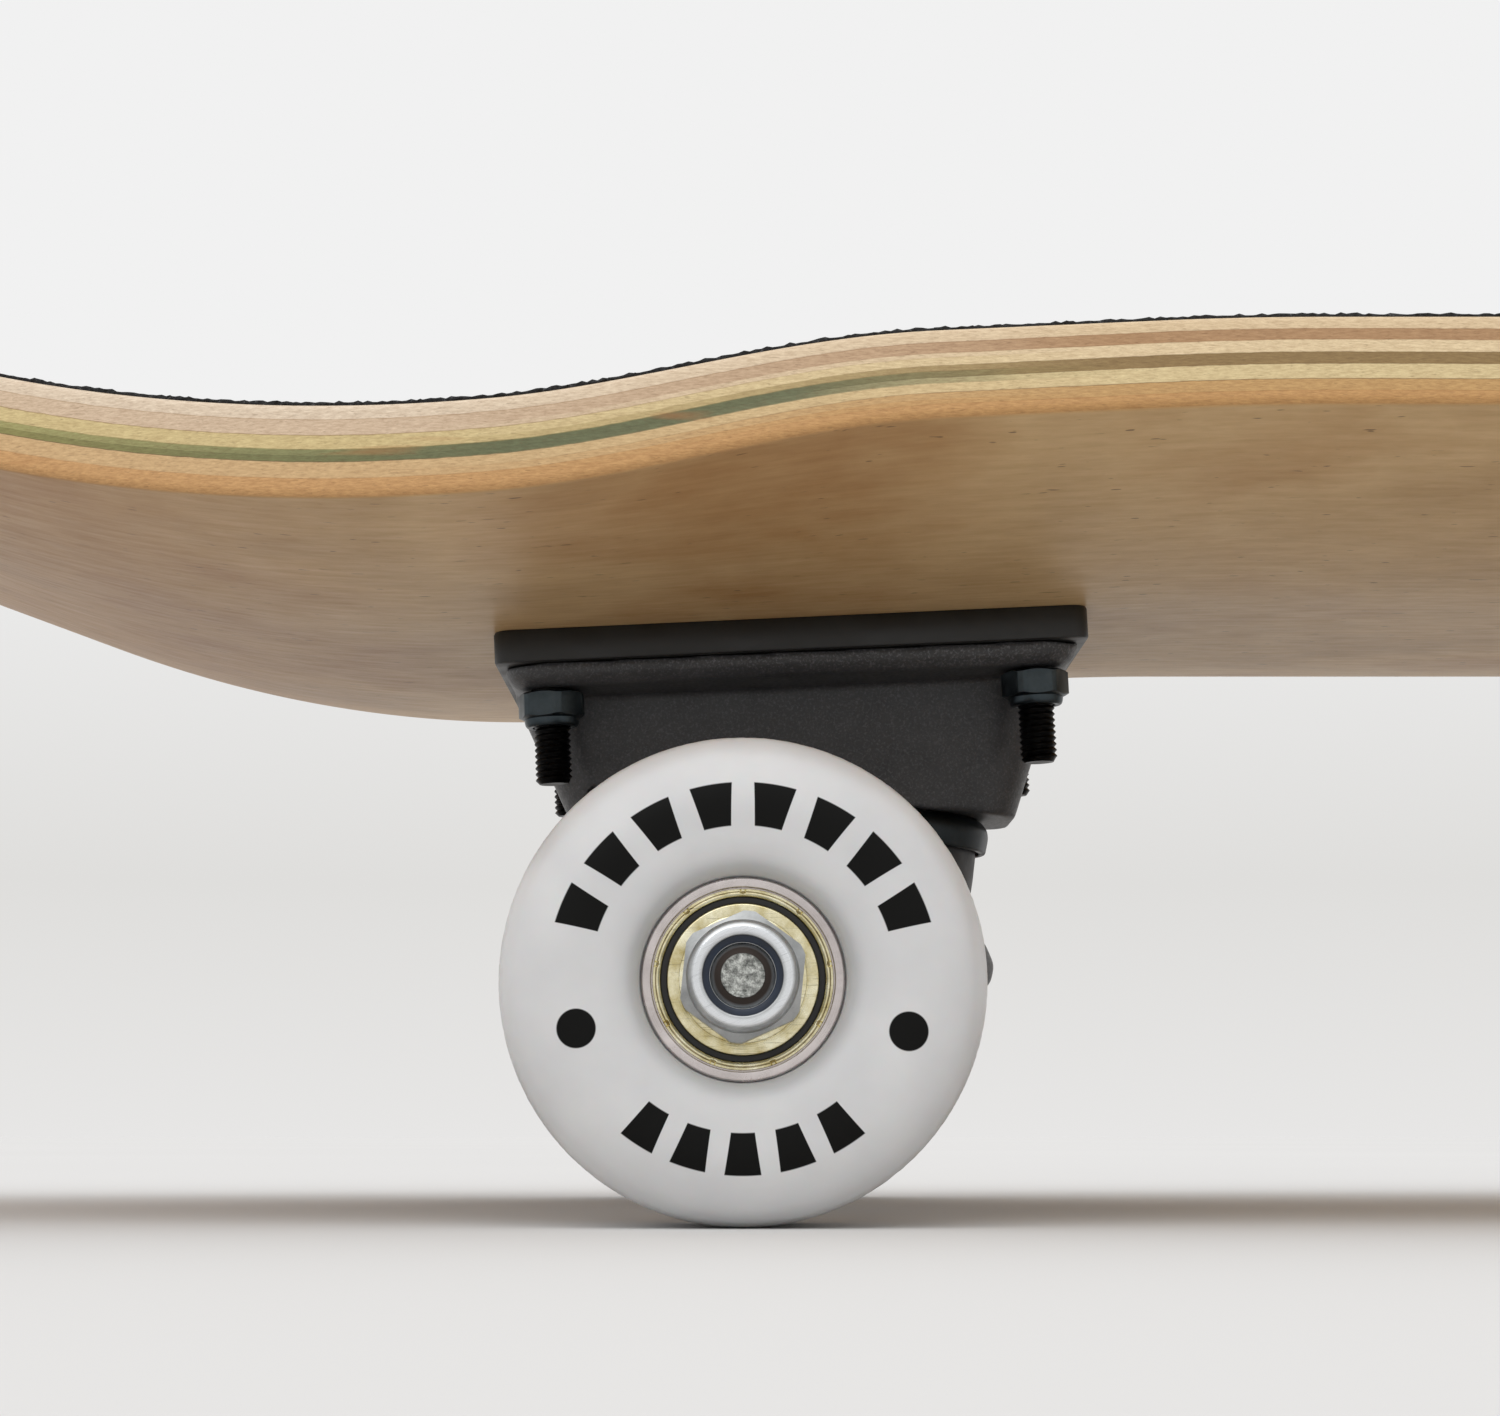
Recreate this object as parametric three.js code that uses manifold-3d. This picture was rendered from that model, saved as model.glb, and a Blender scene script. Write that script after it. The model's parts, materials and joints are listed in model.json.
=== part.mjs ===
// Skateboard: laminated deck with kicked ends, grip sheet, and two kingpin trucks with
// riser pads, cushioned hangers, axles, bearings and cast wheels.
// Millimetres. +X runs along the board from the nose to the tail, +Z is up, and the
// origin is on the floor under the middle of the board.
import * as THREE from 'three';
import { mergeVertices } from 'three/addons/utils/BufferGeometryUtils.js';
import Module from 'manifold-3d';

const wasm = await Module();
wasm.setup();

const degrees = THREE.MathUtils.degToRad;

// Driving dimensions
const GAP = 0.25; // left between pieces that rest on each other
const THREAD_GAP = 0.3; // radial room between a thread or shaft and its hole

const WHEEL_RADIUS = 26.5; // distance from the axle to the flat of the faceted tread
const WHEEL_WIDTH = 32;
const AXLE_HEIGHT = WHEEL_RADIUS;
const AXLE_X = 215.75; // from the middle of the board to each axle

const DECK_WIDTH = 197;
const DECK_THICKNESS = 10.6;
const TIP_REACH = 186; // from each axle to the end of the deck
const TAPER_START = 24; // inboard of the axle, where the outline begins to narrow
const OUTLINE_POWER = 2.2; // roundness of the nose and tail outline
const LOWER_EDGE_ROUND = 0.9;
const UPPER_EDGE_ROUND = 0.9;
const GRIP_THICKNESS = 0.7;

const PATCH_TILT = degrees(2.6); // slope of the flat truck seats, inboard end higher
const PATCH_CENTRE = 6; // centre of the bolt pattern, inboard of the axle
const PATCH_HEIGHT = 49.87; // deck underside above the axle at the pattern's centre
const PATCH_HALF = 40;
const CAMBER_BLEND = 18; // length over which the seat's slope fades to level
const FLAT_HALF_WIDTH = 28; // middle strip of the deck without concave
const CONCAVE_POWER = 1.6;
const CONCAVE_MIDDLE = 9.6; // rise of the rail along the middle of the board
const CONCAVE_KICK = 4.4; // rise of the rail along the kicks
const CONCAVE_FADE = [-28, 21.6]; // measured from the axle, positive inboard
const KICK_START = -30;
const KICK_RADIUS = 187;
const KICK_ANGLE = degrees(22.6);

const BOLT_SPACING_X = 63.5;
const BOLT_SPACING_Y = 41.3;
const BOLT_RADIUS = 2.4;
const BOLT_HEAD_RADIUS = 4.8;
const BOLT_HEAD_HEIGHT = 2.6;
const BOLT_REACH = 19.6; // below the deck's underside
const DECK_NUT_FLATS = 8;
const KINGPIN_HEAD_FLATS = 14.3;
const AXLE_NUT_FLATS = 12.7;

const RISER_LENGTH = 77.3;
const RISER_WIDTH = 55;
const RISER_THICKNESS = 4.05;
const RISER_CORNER = 2.5;
const FLANGE_LENGTH = 76;
const FLANGE_WIDTH = 53;
const FLANGE_CORNER = 6;
const FLANGE_THICKNESS = 3;
const FLANGE_TOP = -(GAP + RISER_THICKNESS + GAP); // measured from the deck's underside
const FLANGE_BOTTOM = FLANGE_TOP - FLANGE_THICKNESS;
const BLOCK_BOTTOM = -27.5; // of the baseplate's body, below the deck's underside

const KINGPIN_TILT = degrees(4);
const KINGPIN_X = 19.2; // where the kingpin crosses the height below
const KINGPIN_Z = 23.5;
const KINGPIN_RADIUS = 4.76;
const KINGPIN_HEAD_START = 14; // levels along the kingpin, from the point above
const HEAD_POCKET_RADIUS = 9;
const SEAT_LEVEL = 3.35;
const SEAT_RADIUS = 42; // reach of the flat that the cup washer bears on
const CUSHION_WASHER = 1.6; // thickness
const RING_TOP = -12;
const RING_BOTTOM = -20.5;
const RING_RADIUS = 16;
const RING_HOLE_RADIUS = 6.8;
const RING_LEVEL = -16.2; // where the steering axis crosses the kingpin
const LOWER_WASHER_LEVEL = -29.6;
const KINGPIN_NUT_LEVEL = -31.5;
const KINGPIN_END = -40.5;

const PIVOT_X = -13; // centre of the pivot cup, from the axle
const PIVOT_Z = 29.5;
const NOSE_RADIUS = 5; // ball end of the hanger's pivot nose
const CUP_MOUTH = 33; // levels along the steering axis, from the ring's centre
const CUP_FLOOR = 42.8;
const CUP_END = 44.6;
const CUP_RADIUS = 7.4;
const BOSS_RADIUS = 10.4; // casting around the pivot cup
const BOSS_END = 46.4;

const HANGER_HALF = 66.6;
const BUSHING_SEAT_RADIUS = 13.4;
const NOSE_START = 22; // where the pivot nose leaves the neck, along the steering axis
const AXLE_RADIUS = 3.97;
const AXLE_HALF = 99.2;
const SPEED_WASHER = 0.9;
const BEARING_RADIUS = 11;
const BEARING_WIDTH = 7;
const SHIELD_THICKNESS = 0.5;
const BALL_TRACK_RADIUS = 9.2;
const RACE_RADIUS = 6.2; // outside of a bearing's inner ring
const SPACER_LENGTH = 10;
const SPACER_RADIUS = 5.3;
const WHEEL_CENTRE = HANGER_HALF + SPEED_WASHER + BEARING_WIDTH + SPACER_LENGTH / 2;
const AXLE_NUT_START = WHEEL_CENTRE + SPACER_LENGTH / 2 + BEARING_WIDTH + SPEED_WASHER;

const WHEEL_SEGMENTS = 24;
const ROUND_SEGMENTS = 16;
const AXLE_SEGMENTS = 14;
const SMALL_SEGMENTS = 10;

const KINGPIN_BORE = KINGPIN_RADIUS + THREAD_GAP;
const SLEEVE_BORE = AXLE_RADIUS + THREAD_GAP;

// Materials
function material(color, roughness, metalness) {
  return new THREE.MeshStandardMaterial({ color, roughness, metalness });
}

const maple = material(0xb08f66, 0.45, 0);
const grit = material(0x161616, 0.95, 0);
const blackPlastic = material(0x191917, 0.5, 0);
const castAlloy = material(0x353538, 0.55, 0.6);
const blackSteel = material(0x101010, 0.5, 0.7);
const darkZinc = material(0x3b4245, 0.45, 0.8);
const blackRubber = material(0x1d1d1f, 0.6, 0);
const brightZinc = material(0xb9bcbf, 0.3, 1);
const bearingSteel = material(0xa9a39a, 0.3, 1);
const urethane = material(0xd8d7d5, 0.4, 0);

// Turns a closed geometry into a solid that can be joined or cut.
function solid(geometry) {
  const bare = geometry.clone();
  bare.deleteAttribute('normal');
  bare.deleteAttribute('uv');
  const merged = mergeVertices(bare, 1e-4);
  const vertProperties = new Float32Array(merged.attributes.position.array);
  const triVerts = new Uint32Array(merged.index.array);
  return new wasm.Manifold(new wasm.Mesh({ numProp: 3, vertProperties, triVerts }));
}

function geometryOf(manifold) {
  const { vertProperties, triVerts } = manifold.getMesh();
  const geometry = new THREE.BufferGeometry();
  geometry.setAttribute('position', new THREE.BufferAttribute(new Float32Array(vertProperties), 3));
  geometry.setIndex(Array.from(triVerts));
  geometry.computeVertexNormals();
  return geometry;
}

function cutAway(body, tools) {
  return tools.reduce((rest, tool) => rest.subtract(tool), body);
}

// Turned shape about Z, from [radius, height] pairs that close on themselves. The pairs
// run up the outside and down the inside.
function turned(pairs, segments = ROUND_SEGMENTS) {
  const closed = [...pairs, pairs[0]].map(([radius, height]) => new THREE.Vector2(radius, height));
  return new THREE.LatheGeometry(closed, segments, Math.PI / segments).rotateX(Math.PI / 2);
}

// Turned shape about Z whose [radius, height] pairs start and end on the axis.
function turnedFull(pairs, segments = ROUND_SEGMENTS) {
  const profile = pairs.map(([radius, height]) => new THREE.Vector2(radius, height));
  return new THREE.LatheGeometry(profile, segments, Math.PI / segments).rotateX(Math.PI / 2);
}

function rod(radius, low, high, segments = ROUND_SEGMENTS) {
  return turnedFull([[0, low], [radius, low], [radius, high], [0, high]], segments);
}

function ring(inner, outer, low, high, segments = ROUND_SEGMENTS) {
  return turned([[inner, low], [outer, low], [outer, high], [inner, high]], segments);
}

// Skin through rings of points with equal counts, listed from the lowest ring up and
// counter-clockwise from above, closed by a fan at each end.
function loft(rings) {
  const count = rings[0].length;
  const index = [];
  for (let level = 0; level < rings.length - 1; level += 1) {
    for (let side = 0; side < count; side += 1) {
      const a = level * count + side;
      const b = level * count + (side + 1) % count;
      index.push(a, b, b + count, a, b + count, a + count);
    }
  }
  const last = (rings.length - 1) * count;
  for (let side = 1; side < count - 1; side += 1) {
    index.push(0, side + 1, side);
    index.push(last, last + side, last + side + 1);
  }
  const geometry = new THREE.BufferGeometry().setFromPoints(rings.flat());
  geometry.setIndex(index);
  return geometry;
}

function roundedRectangle(length, width, radius, centreX, level) {
  const points = [];
  const steps = 4;
  for (let corner = 0; corner < 4; corner += 1) {
    const signX = corner === 0 || corner === 3 ? 1 : -1;
    const signY = corner < 2 ? 1 : -1;
    for (let step = 0; step <= steps; step += 1) {
      const angle = (corner + step / steps) * Math.PI / 2;
      points.push(new THREE.Vector3(
        centreX + signX * (length / 2 - radius) + radius * Math.cos(angle),
        signY * (width / 2 - radius) + radius * Math.sin(angle),
        level,
      ));
    }
  }
  return points;
}

// Upright prism over a convex outline of [x, y] pairs, counter-clockwise from above.
function prism(outline, low, high) {
  return loft([low, high].map((level) => outline.map(([x, y]) => new THREE.Vector3(x, y, level))));
}

// Frames inside a truck, each a matrix to the truck's own frame: origin at the axle's
// middle, +x towards the middle of the board.
function frameAt(x, z, turnY) {
  return new THREE.Matrix4().makeRotationY(turnY).setPosition(x, 0, z);
}

const plateFrame = frameAt(PATCH_CENTRE, PATCH_HEIGHT, -PATCH_TILT);
const kingpinFrame = frameAt(KINGPIN_X, KINGPIN_Z, KINGPIN_TILT);
const ringCentre = new THREE.Vector3(0, 0, RING_LEVEL).applyMatrix4(kingpinFrame);
const steeringTurn = Math.atan2(PIVOT_X - ringCentre.x, PIVOT_Z - ringCentre.z);
const steeringFrame = frameAt(ringCentre.x, ringCentre.z, steeringTurn);
const axleFrame = new THREE.Matrix4().makeRotationX(-Math.PI / 2); // local z along +y

function placed(geometry, frame) {
  return geometry.clone().applyMatrix4(frame);
}

// Deck surface. "inboard" is the distance from the nearer axle towards the middle.
function clampedStep(value) {
  const t = THREE.MathUtils.clamp(value, 0, 1);
  return t * t * (3 - 2 * t);
}

function centreLine(inboard) {
  const slope = Math.tan(PATCH_TILT);
  const past = THREE.MathUtils.clamp(inboard - PATCH_CENTRE - PATCH_HALF, 0, CAMBER_BLEND);
  const onSeat = Math.min(inboard - PATCH_CENTRE, PATCH_HALF);
  const seat = slope * (onSeat + past - past * past / (2 * CAMBER_BLEND));
  const beyond = Math.max(KICK_START - inboard, 0);
  const arc = Math.min(beyond, KICK_RADIUS * Math.sin(KICK_ANGLE));
  const kick = KICK_RADIUS - Math.sqrt(KICK_RADIUS ** 2 - arc ** 2) + (beyond - arc) * Math.tan(KICK_ANGLE);
  return AXLE_HEIGHT + PATCH_HEIGHT + seat + kick;
}

function underside(x, y) {
  const inboard = AXLE_X - Math.abs(x);
  const [fadeLow, fadeHigh] = CONCAVE_FADE;
  const fade = clampedStep((inboard - fadeLow) / (fadeHigh - fadeLow));
  const rail = CONCAVE_KICK + (CONCAVE_MIDDLE - CONCAVE_KICK) * fade;
  const outward = Math.max(Math.abs(y) - FLAT_HALF_WIDTH, 0) / (DECK_WIDTH / 2 - FLAT_HALF_WIDTH);
  return centreLine(inboard) + rail * outward ** CONCAVE_POWER;
}

// Point at a height above the underside, square to it.
function deckPoint(x, y, height) {
  const step = 0.5;
  const normal = new THREE.Vector3(
    (underside(x - step, y) - underside(x + step, y)) / (2 * step),
    (underside(x, y - step) - underside(x, y + step)) / (2 * step),
    1,
  ).normalize();
  return new THREE.Vector3(x, y, underside(x, y)).addScaledVector(normal, height);
}

function halfWidth(inboard) {
  const along = THREE.MathUtils.clamp((TAPER_START - inboard) / (TAPER_START + TIP_REACH), 0, 1);
  return (DECK_WIDTH / 2) * (1 - along ** OUTLINE_POWER) ** (1 / OUTLINE_POWER);
}

// Distances from the axle at which the deck is sectioned, from the tip to the middle.
function deckStations() {
  const kickSteps = 10;
  const kickEnd = KICK_START - 4;
  const stations = [];
  for (let step = kickSteps; step > 0; step -= 1) {
    const share = Math.sin(step * Math.PI / (2 * kickSteps));
    stations.push(kickEnd - (TIP_REACH + kickEnd) * share);
  }
  const seatEnd = PATCH_CENTRE + PATCH_HALF;
  const seat = [kickEnd, -15, 0, 15, 30, seatEnd];
  return [...stations, ...seat, seatEnd + CAMBER_BLEND / 2, seatEnd + CAMBER_BLEND];
}

// Outline of one side as [x, y] pairs from tail tip to nose tip, moved in by an inset.
function sideOutline(inset) {
  const tailHalf = deckStations().map((inboard) => [AXLE_X - inboard, halfWidth(inboard)]);
  const noseHalf = tailHalf.map(([x, y]) => [-x, y]).reverse();
  const edge = [...tailHalf, ...noseHalf];
  return edge.map(([x, y], place) => {
    if (place === 0 || place === edge.length - 1) {
      return [x - Math.sign(x) * inset, 0];
    }
    const [beforeX, beforeY] = edge[place - 1];
    const [afterX, afterY] = edge[place + 1];
    const run = new THREE.Vector2(afterX - beforeX, afterY - beforeY).normalize();
    return [x - run.y * inset, y + run.x * inset];
  });
}

// Closed sheet that follows the deck: edge steps are [inset, height] from the bottom up.
function deckSheet(edgeSteps) {
  const crossShares = [-1, -0.85, -0.6, -0.3, 0, 0.3, 0.6, 0.85, 1];
  const points = [];
  const index = [];
  const outlines = edgeSteps.map(([inset]) => sideOutline(inset));
  const rows = outlines[0].length;
  const quad = (a, b, c, d) => index.push(a, b, c, a, c, d);

  function surface(step, facingUp) {
    const first = points.length;
    const [, height] = edgeSteps[step];
    outlines[step].forEach(([x, y]) => {
      crossShares.forEach((share) => points.push(deckPoint(x, y * share, height)));
    });
    const columns = crossShares.length;
    for (let row = 0; row < rows - 1; row += 1) {
      for (let column = 0; column < columns - 1; column += 1) {
        const a = first + row * columns + column;
        const [b, c, d] = [a + 1, a + columns + 1, a + columns];
        quad(...(facingUp ? [a, b, c, d] : [a, d, c, b]));
      }
    }
  }

  function edgeBand(side) {
    const first = points.length;
    outlines.forEach((outline, step) => {
      outline.forEach(([x, y]) => points.push(deckPoint(x, y * side, edgeSteps[step][1])));
    });
    for (let step = 0; step < edgeSteps.length - 1; step += 1) {
      for (let row = 0; row < rows - 1; row += 1) {
        const a = first + step * rows + row;
        const corners = [a, a + 1, a + rows + 1, a + rows];
        quad(...(side > 0 ? corners : corners.reverse()));
      }
    }
  }

  surface(0, false);
  surface(edgeSteps.length - 1, true);
  edgeBand(1);
  edgeBand(-1);
  const loose = new THREE.BufferGeometry().setFromPoints(points);
  loose.setIndex(index);
  return withoutSlivers(mergeVertices(loose, 1e-3));
}

// Drops the triangles that merging has folded to a line at the tips.
function withoutSlivers(geometry) {
  const source = geometry.index.array;
  const kept = [];
  for (let start = 0; start < source.length; start += 3) {
    const [a, b, c] = source.slice(start, start + 3);
    if (a !== b && b !== c && c !== a) {
      kept.push(a, b, c);
    }
  }
  geometry.setIndex(kept);
  return geometry;
}

const trucks = [
  { name: 'nose', frame: new THREE.Matrix4().setPosition(-AXLE_X, 0, AXLE_HEIGHT) },
  { name: 'tail', frame: new THREE.Matrix4().makeRotationZ(Math.PI).setPosition(AXLE_X, 0, AXLE_HEIGHT) },
];

const boltPlaces = [-1, 1].flatMap((signX) => [-1, 1].map((signY) => (
  [signX * BOLT_SPACING_X / 2, signY * BOLT_SPACING_Y / 2])));

// One cutter for each of the eight mounting bolts, in the row's frame.
function boltCutters(geometry) {
  return trucks.flatMap((truck) => boltPlaces.map(([x, y]) => {
    const atBolt = geometry.clone().translate(x, y, 0);
    return solid(placed(placed(atBolt, plateFrame), truck.frame));
  }));
}

const HOLE_RADIUS = BOLT_RADIUS + THREAD_GAP;
const HEAD_ROOM_RADIUS = BOLT_HEAD_RADIUS + THREAD_GAP;
const BOARD_TOP = DECK_THICKNESS + GAP + GRIP_THICKNESS; // above the deck's underside

function deckGeometry() {
  const sheet = deckSheet([
    [LOWER_EDGE_ROUND, 0],
    [0.3 * LOWER_EDGE_ROUND, 0.3 * LOWER_EDGE_ROUND],
    [0, LOWER_EDGE_ROUND],
    [0, DECK_THICKNESS - UPPER_EDGE_ROUND],
    [UPPER_EDGE_ROUND, DECK_THICKNESS],
  ]);
  const countersink = turnedFull([
    [0, -2],
    [HOLE_RADIUS, -2],
    [HOLE_RADIUS, BOARD_TOP - BOLT_HEAD_HEIGHT - THREAD_GAP],
    [HEAD_ROOM_RADIUS, BOARD_TOP - 0.2],
    [HEAD_ROOM_RADIUS, BOARD_TOP + 2],
    [0, BOARD_TOP + 2],
  ], SMALL_SEGMENTS);
  return geometryOf(cutAway(solid(sheet), boltCutters(countersink)));
}

function gripGeometry() {
  const bottom = DECK_THICKNESS + GAP;
  const sheet = deckSheet([[UPPER_EDGE_ROUND, bottom], [UPPER_EDGE_ROUND, bottom + GRIP_THICKNESS]]);
  const hole = rod(HEAD_ROOM_RADIUS, bottom - 2, bottom + 4, SMALL_SEGMENTS);
  return geometryOf(cutAway(solid(sheet), boltCutters(hole)));
}

// Cutters for one truck's four bolt holes, in the given frame of the plate.
function plateHoles(frame = new THREE.Matrix4()) {
  const hole = rod(HOLE_RADIUS, -BOLT_REACH, GAP, SMALL_SEGMENTS);
  return boltPlaces.map(([x, y]) => solid(placed(hole.clone().translate(x, y, 0), frame)));
}

function riserGeometry() {
  const pad = loft([-GAP - RISER_THICKNESS, -GAP].map((level) => (
    roundedRectangle(RISER_LENGTH, RISER_WIDTH, RISER_CORNER, 0, level))));
  return geometryOf(cutAway(solid(pad), plateHoles()));
}

function deckBoltGeometry() {
  const point = 0.4;
  return turnedFull([
    [0, -BOLT_REACH],
    [BOLT_RADIUS - point, -BOLT_REACH],
    [BOLT_RADIUS, -BOLT_REACH + point],
    [BOLT_RADIUS, BOARD_TOP - BOLT_HEAD_HEIGHT],
    [BOLT_HEAD_RADIUS, BOARD_TOP],
    [0, BOARD_TOP],
  ], SMALL_SEGMENTS);
}

function hexagon(acrossFlats, low, high) {
  return rod(acrossFlats / Math.sqrt(3), low, high, 6);
}

// Hexagonal nut with a round locking collar at its upper end, standing on z = 0.
function lockNutGeometry(acrossFlats, hexHeight, height, collarRadius, bore) {
  const collar = rod(collarRadius, hexHeight / 2, height, SMALL_SEGMENTS);
  const hole = rod(bore, -1, height + 1, SMALL_SEGMENTS);
  return geometryOf(solid(hexagon(acrossFlats, 0, hexHeight)).add(solid(collar)).subtract(solid(hole)));
}

// Baseplate, in the truck's frame: drafted flange, body block, kingpin seat, pivot boss.
function baseplateGeometry() {
  const draft = 2;
  const flange = loft([
    roundedRectangle(FLANGE_LENGTH - 2 * draft, FLANGE_WIDTH - 2 * draft, FLANGE_CORNER, 0, FLANGE_BOTTOM),
    roundedRectangle(FLANGE_LENGTH, FLANGE_WIDTH, FLANGE_CORNER, 0, FLANGE_BOTTOM + 1.6),
    roundedRectangle(FLANGE_LENGTH, FLANGE_WIDTH, FLANGE_CORNER, 0, FLANGE_TOP),
  ]);
  const block = loft([
    roundedRectangle(57.8, 23.5, 6, -0.1, BLOCK_BOTTOM),
    roundedRectangle(73, 28.4, 8, -0.5, FLANGE_BOTTOM + 1),
  ]);
  const belowSeat = rod(SEAT_RADIUS, -60, SEAT_LEVEL);
  const boss = turnedFull([
    [0, CUP_MOUTH],
    [BOSS_RADIUS - 0.8, CUP_MOUTH],
    [BOSS_RADIUS, CUP_MOUTH + 1],
    [BOSS_RADIUS, CUP_END],
    [BOSS_RADIUS - 2.4, BOSS_END],
    [0, BOSS_END],
  ]);
  const noseRoom = rod(BOSS_RADIUS + 0.6, -20, CUP_MOUTH);
  const cupRoom = rod(CUP_RADIUS + GAP, CUP_MOUTH - 5, CUP_END + GAP);
  const kingpinHole = rod(KINGPIN_BORE, -5, 30);
  const headPocket = rod(HEAD_POCKET_RADIUS, KINGPIN_HEAD_START - THREAD_GAP, 40);

  const seated = solid(placed(block, plateFrame)).subtract(solid(placed(belowSeat, kingpinFrame)));
  const joined = seated.add(solid(placed(boss, steeringFrame))).add(solid(placed(flange, plateFrame)));
  const body = cutAway(joined, [
    solid(placed(noseRoom, steeringFrame)),
    solid(placed(cupRoom, steeringFrame)),
    solid(placed(kingpinHole, kingpinFrame)),
    solid(placed(headPocket, kingpinFrame)),
    ...plateHoles(plateFrame),
  ]);
  return geometryOf(body);
}

function pivotCupGeometry() {
  const bore = NOSE_RADIUS + THREAD_GAP;
  return turnedFull([
    [0, CUP_FLOOR],
    [bore, CUP_FLOOR],
    [bore, CUP_MOUTH],
    [CUP_RADIUS, CUP_MOUTH],
    [CUP_RADIUS, CUP_END],
    [0, CUP_END],
  ]);
}

function kingpinGeometry() {
  const headHeight = 6;
  const shaft = rod(KINGPIN_RADIUS, KINGPIN_END, KINGPIN_HEAD_START + 1);
  const head = hexagon(KINGPIN_HEAD_FLATS, KINGPIN_HEAD_START, KINGPIN_HEAD_START + headHeight);
  return geometryOf(solid(shaft).add(solid(head)));
}

// Cup washer over the boardside bushing: a disc with a skirt.
function cupWasherGeometry() {
  const top = SEAT_LEVEL - GAP;
  return turned([
    [KINGPIN_BORE, top - CUSHION_WASHER],
    [12.9, top - CUSHION_WASHER],
    [12.9, top - 4.3],
    [13.8, top - 4.3],
    [14.1, top - 2],
    [13.2, top],
    [KINGPIN_BORE, top],
  ]);
}

function boardsideBushingGeometry() {
  const low = RING_TOP + GAP;
  const high = SEAT_LEVEL - 2 * GAP - CUSHION_WASHER;
  return turned([
    [KINGPIN_BORE, low],
    [11.6, low],
    [12.2, low + 5],
    [12.5, high - 2],
    [12, high],
    [KINGPIN_BORE, high],
  ]);
}

function roadsideBushingGeometry() {
  const low = LOWER_WASHER_LEVEL + GAP;
  const high = RING_BOTTOM - GAP;
  return turned([
    [KINGPIN_BORE, low],
    [8.6, low],
    [10.2, high - 3],
    [10.8, high - 0.8],
    [10.2, high],
    [KINGPIN_BORE, high],
  ]);
}

function roadsideWasherGeometry() {
  return ring(KINGPIN_BORE, 9.2, LOWER_WASHER_LEVEL - CUSHION_WASHER, LOWER_WASHER_LEVEL);
}

// Hanger, in the truck's frame: axle beam, web, cushion ring, neck and pivot nose.
function hangerGeometry() {
  const beam = turnedFull([
    [0, -HANGER_HALF],
    [8.6, -HANGER_HALF],
    [9, -HANGER_HALF + 1],
    [9.6, -40],
    [10.5, -22],
    [10.5, 22],
    [9.6, 40],
    [9, HANGER_HALF - 1],
    [8.6, HANGER_HALF],
    [0, HANGER_HALF],
  ], AXLE_SEGMENTS);
  const cushionRing = turnedFull([
    [0, RING_BOTTOM],
    [14, RING_BOTTOM],
    [15.6, RING_BOTTOM + 2],
    [RING_RADIUS, RING_LEVEL],
    [14.6, RING_TOP - 1.4],
    [BUSHING_SEAT_RADIUS, RING_TOP],
    [0, RING_TOP],
  ], 18);
  const web = prism([[6, 14.4], [-16, 44], [-21, 44], [-21, -44], [-16, -44], [6, -14.4]], -20.4, -14);
  const neck = prism([[-10, 0], [5, 0], [5, 12], [3, 22], [-2, 24], [-6, 19], [-10, 8]], -6, 6)
    .rotateX(Math.PI / 2);
  const nose = turnedFull([
    [0, NOSE_START],
    [5.8, NOSE_START],
    [5.8, CUP_MOUTH - 3.5],
    [NOSE_RADIUS, CUP_MOUTH - 1],
    [NOSE_RADIUS, 38.6],
    [3.6, 41.4],
    [0, 42.4],
  ]);
  const scoop = turnedFull([
    [0, -60],
    [13.6, -60],
    [13.6, -32.5],
    [11.6, -26],
    [11.6, RING_BOTTOM - 0.01],
    [0, RING_BOTTOM - 0.01],
  ]);
  const bushingRoom = rod(BUSHING_SEAT_RADIUS, RING_TOP + 0.01, -3);
  const ringHole = rod(RING_HOLE_RADIUS, -30, 0);
  const axleBore = rod(SLEEVE_BORE, -HANGER_HALF - 1, HANGER_HALF + 1, AXLE_SEGMENTS);

  const casting = solid(placed(beam, axleFrame))
    .add(solid(placed(web, kingpinFrame)))
    .add(solid(placed(cushionRing, kingpinFrame)))
    .add(solid(neck))
    .add(solid(placed(nose, steeringFrame)));
  return geometryOf(cutAway(casting, [
    solid(placed(scoop, kingpinFrame)),
    solid(placed(bushingRoom, kingpinFrame)),
    solid(placed(ringHole, kingpinFrame)),
    solid(placed(axleBore, axleFrame)),
  ]));
}

function axleGeometry() {
  const chamfer = 1.2;
  return turnedFull([
    [0, -AXLE_HALF],
    [AXLE_RADIUS - chamfer, -AXLE_HALF],
    [AXLE_RADIUS, -AXLE_HALF + chamfer],
    [AXLE_RADIUS, AXLE_HALF - chamfer],
    [AXLE_RADIUS - chamfer, AXLE_HALF],
    [0, AXLE_HALF],
  ], AXLE_SEGMENTS);
}

// Wheel about z with its middle at z = 0: bearing seats on both sides of a centre lip.
function wheelGeometry() {
  const overFlats = 1 / Math.cos(Math.PI / WHEEL_SEGMENTS);
  const seat = (BEARING_RADIUS + THREAD_GAP) * overFlats;
  const lip = SPACER_LENGTH / 2 - THREAD_GAP;
  const half = WHEEL_WIDTH / 2;
  const halfProfile = [
    [9.4, lip],
    [seat, lip],
    [seat, half - 3.4],
    [13.5, half - 0.8],
    [20, half],
    [24.6, half - 2.6],
    [WHEEL_RADIUS * overFlats, half - 6.8],
  ];
  const upSide = [...halfProfile].reverse();
  const downSide = halfProfile.map(([radius, height]) => [radius, -height]);
  return turned([...downSide, ...upSide], WHEEL_SEGMENTS);
}

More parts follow.
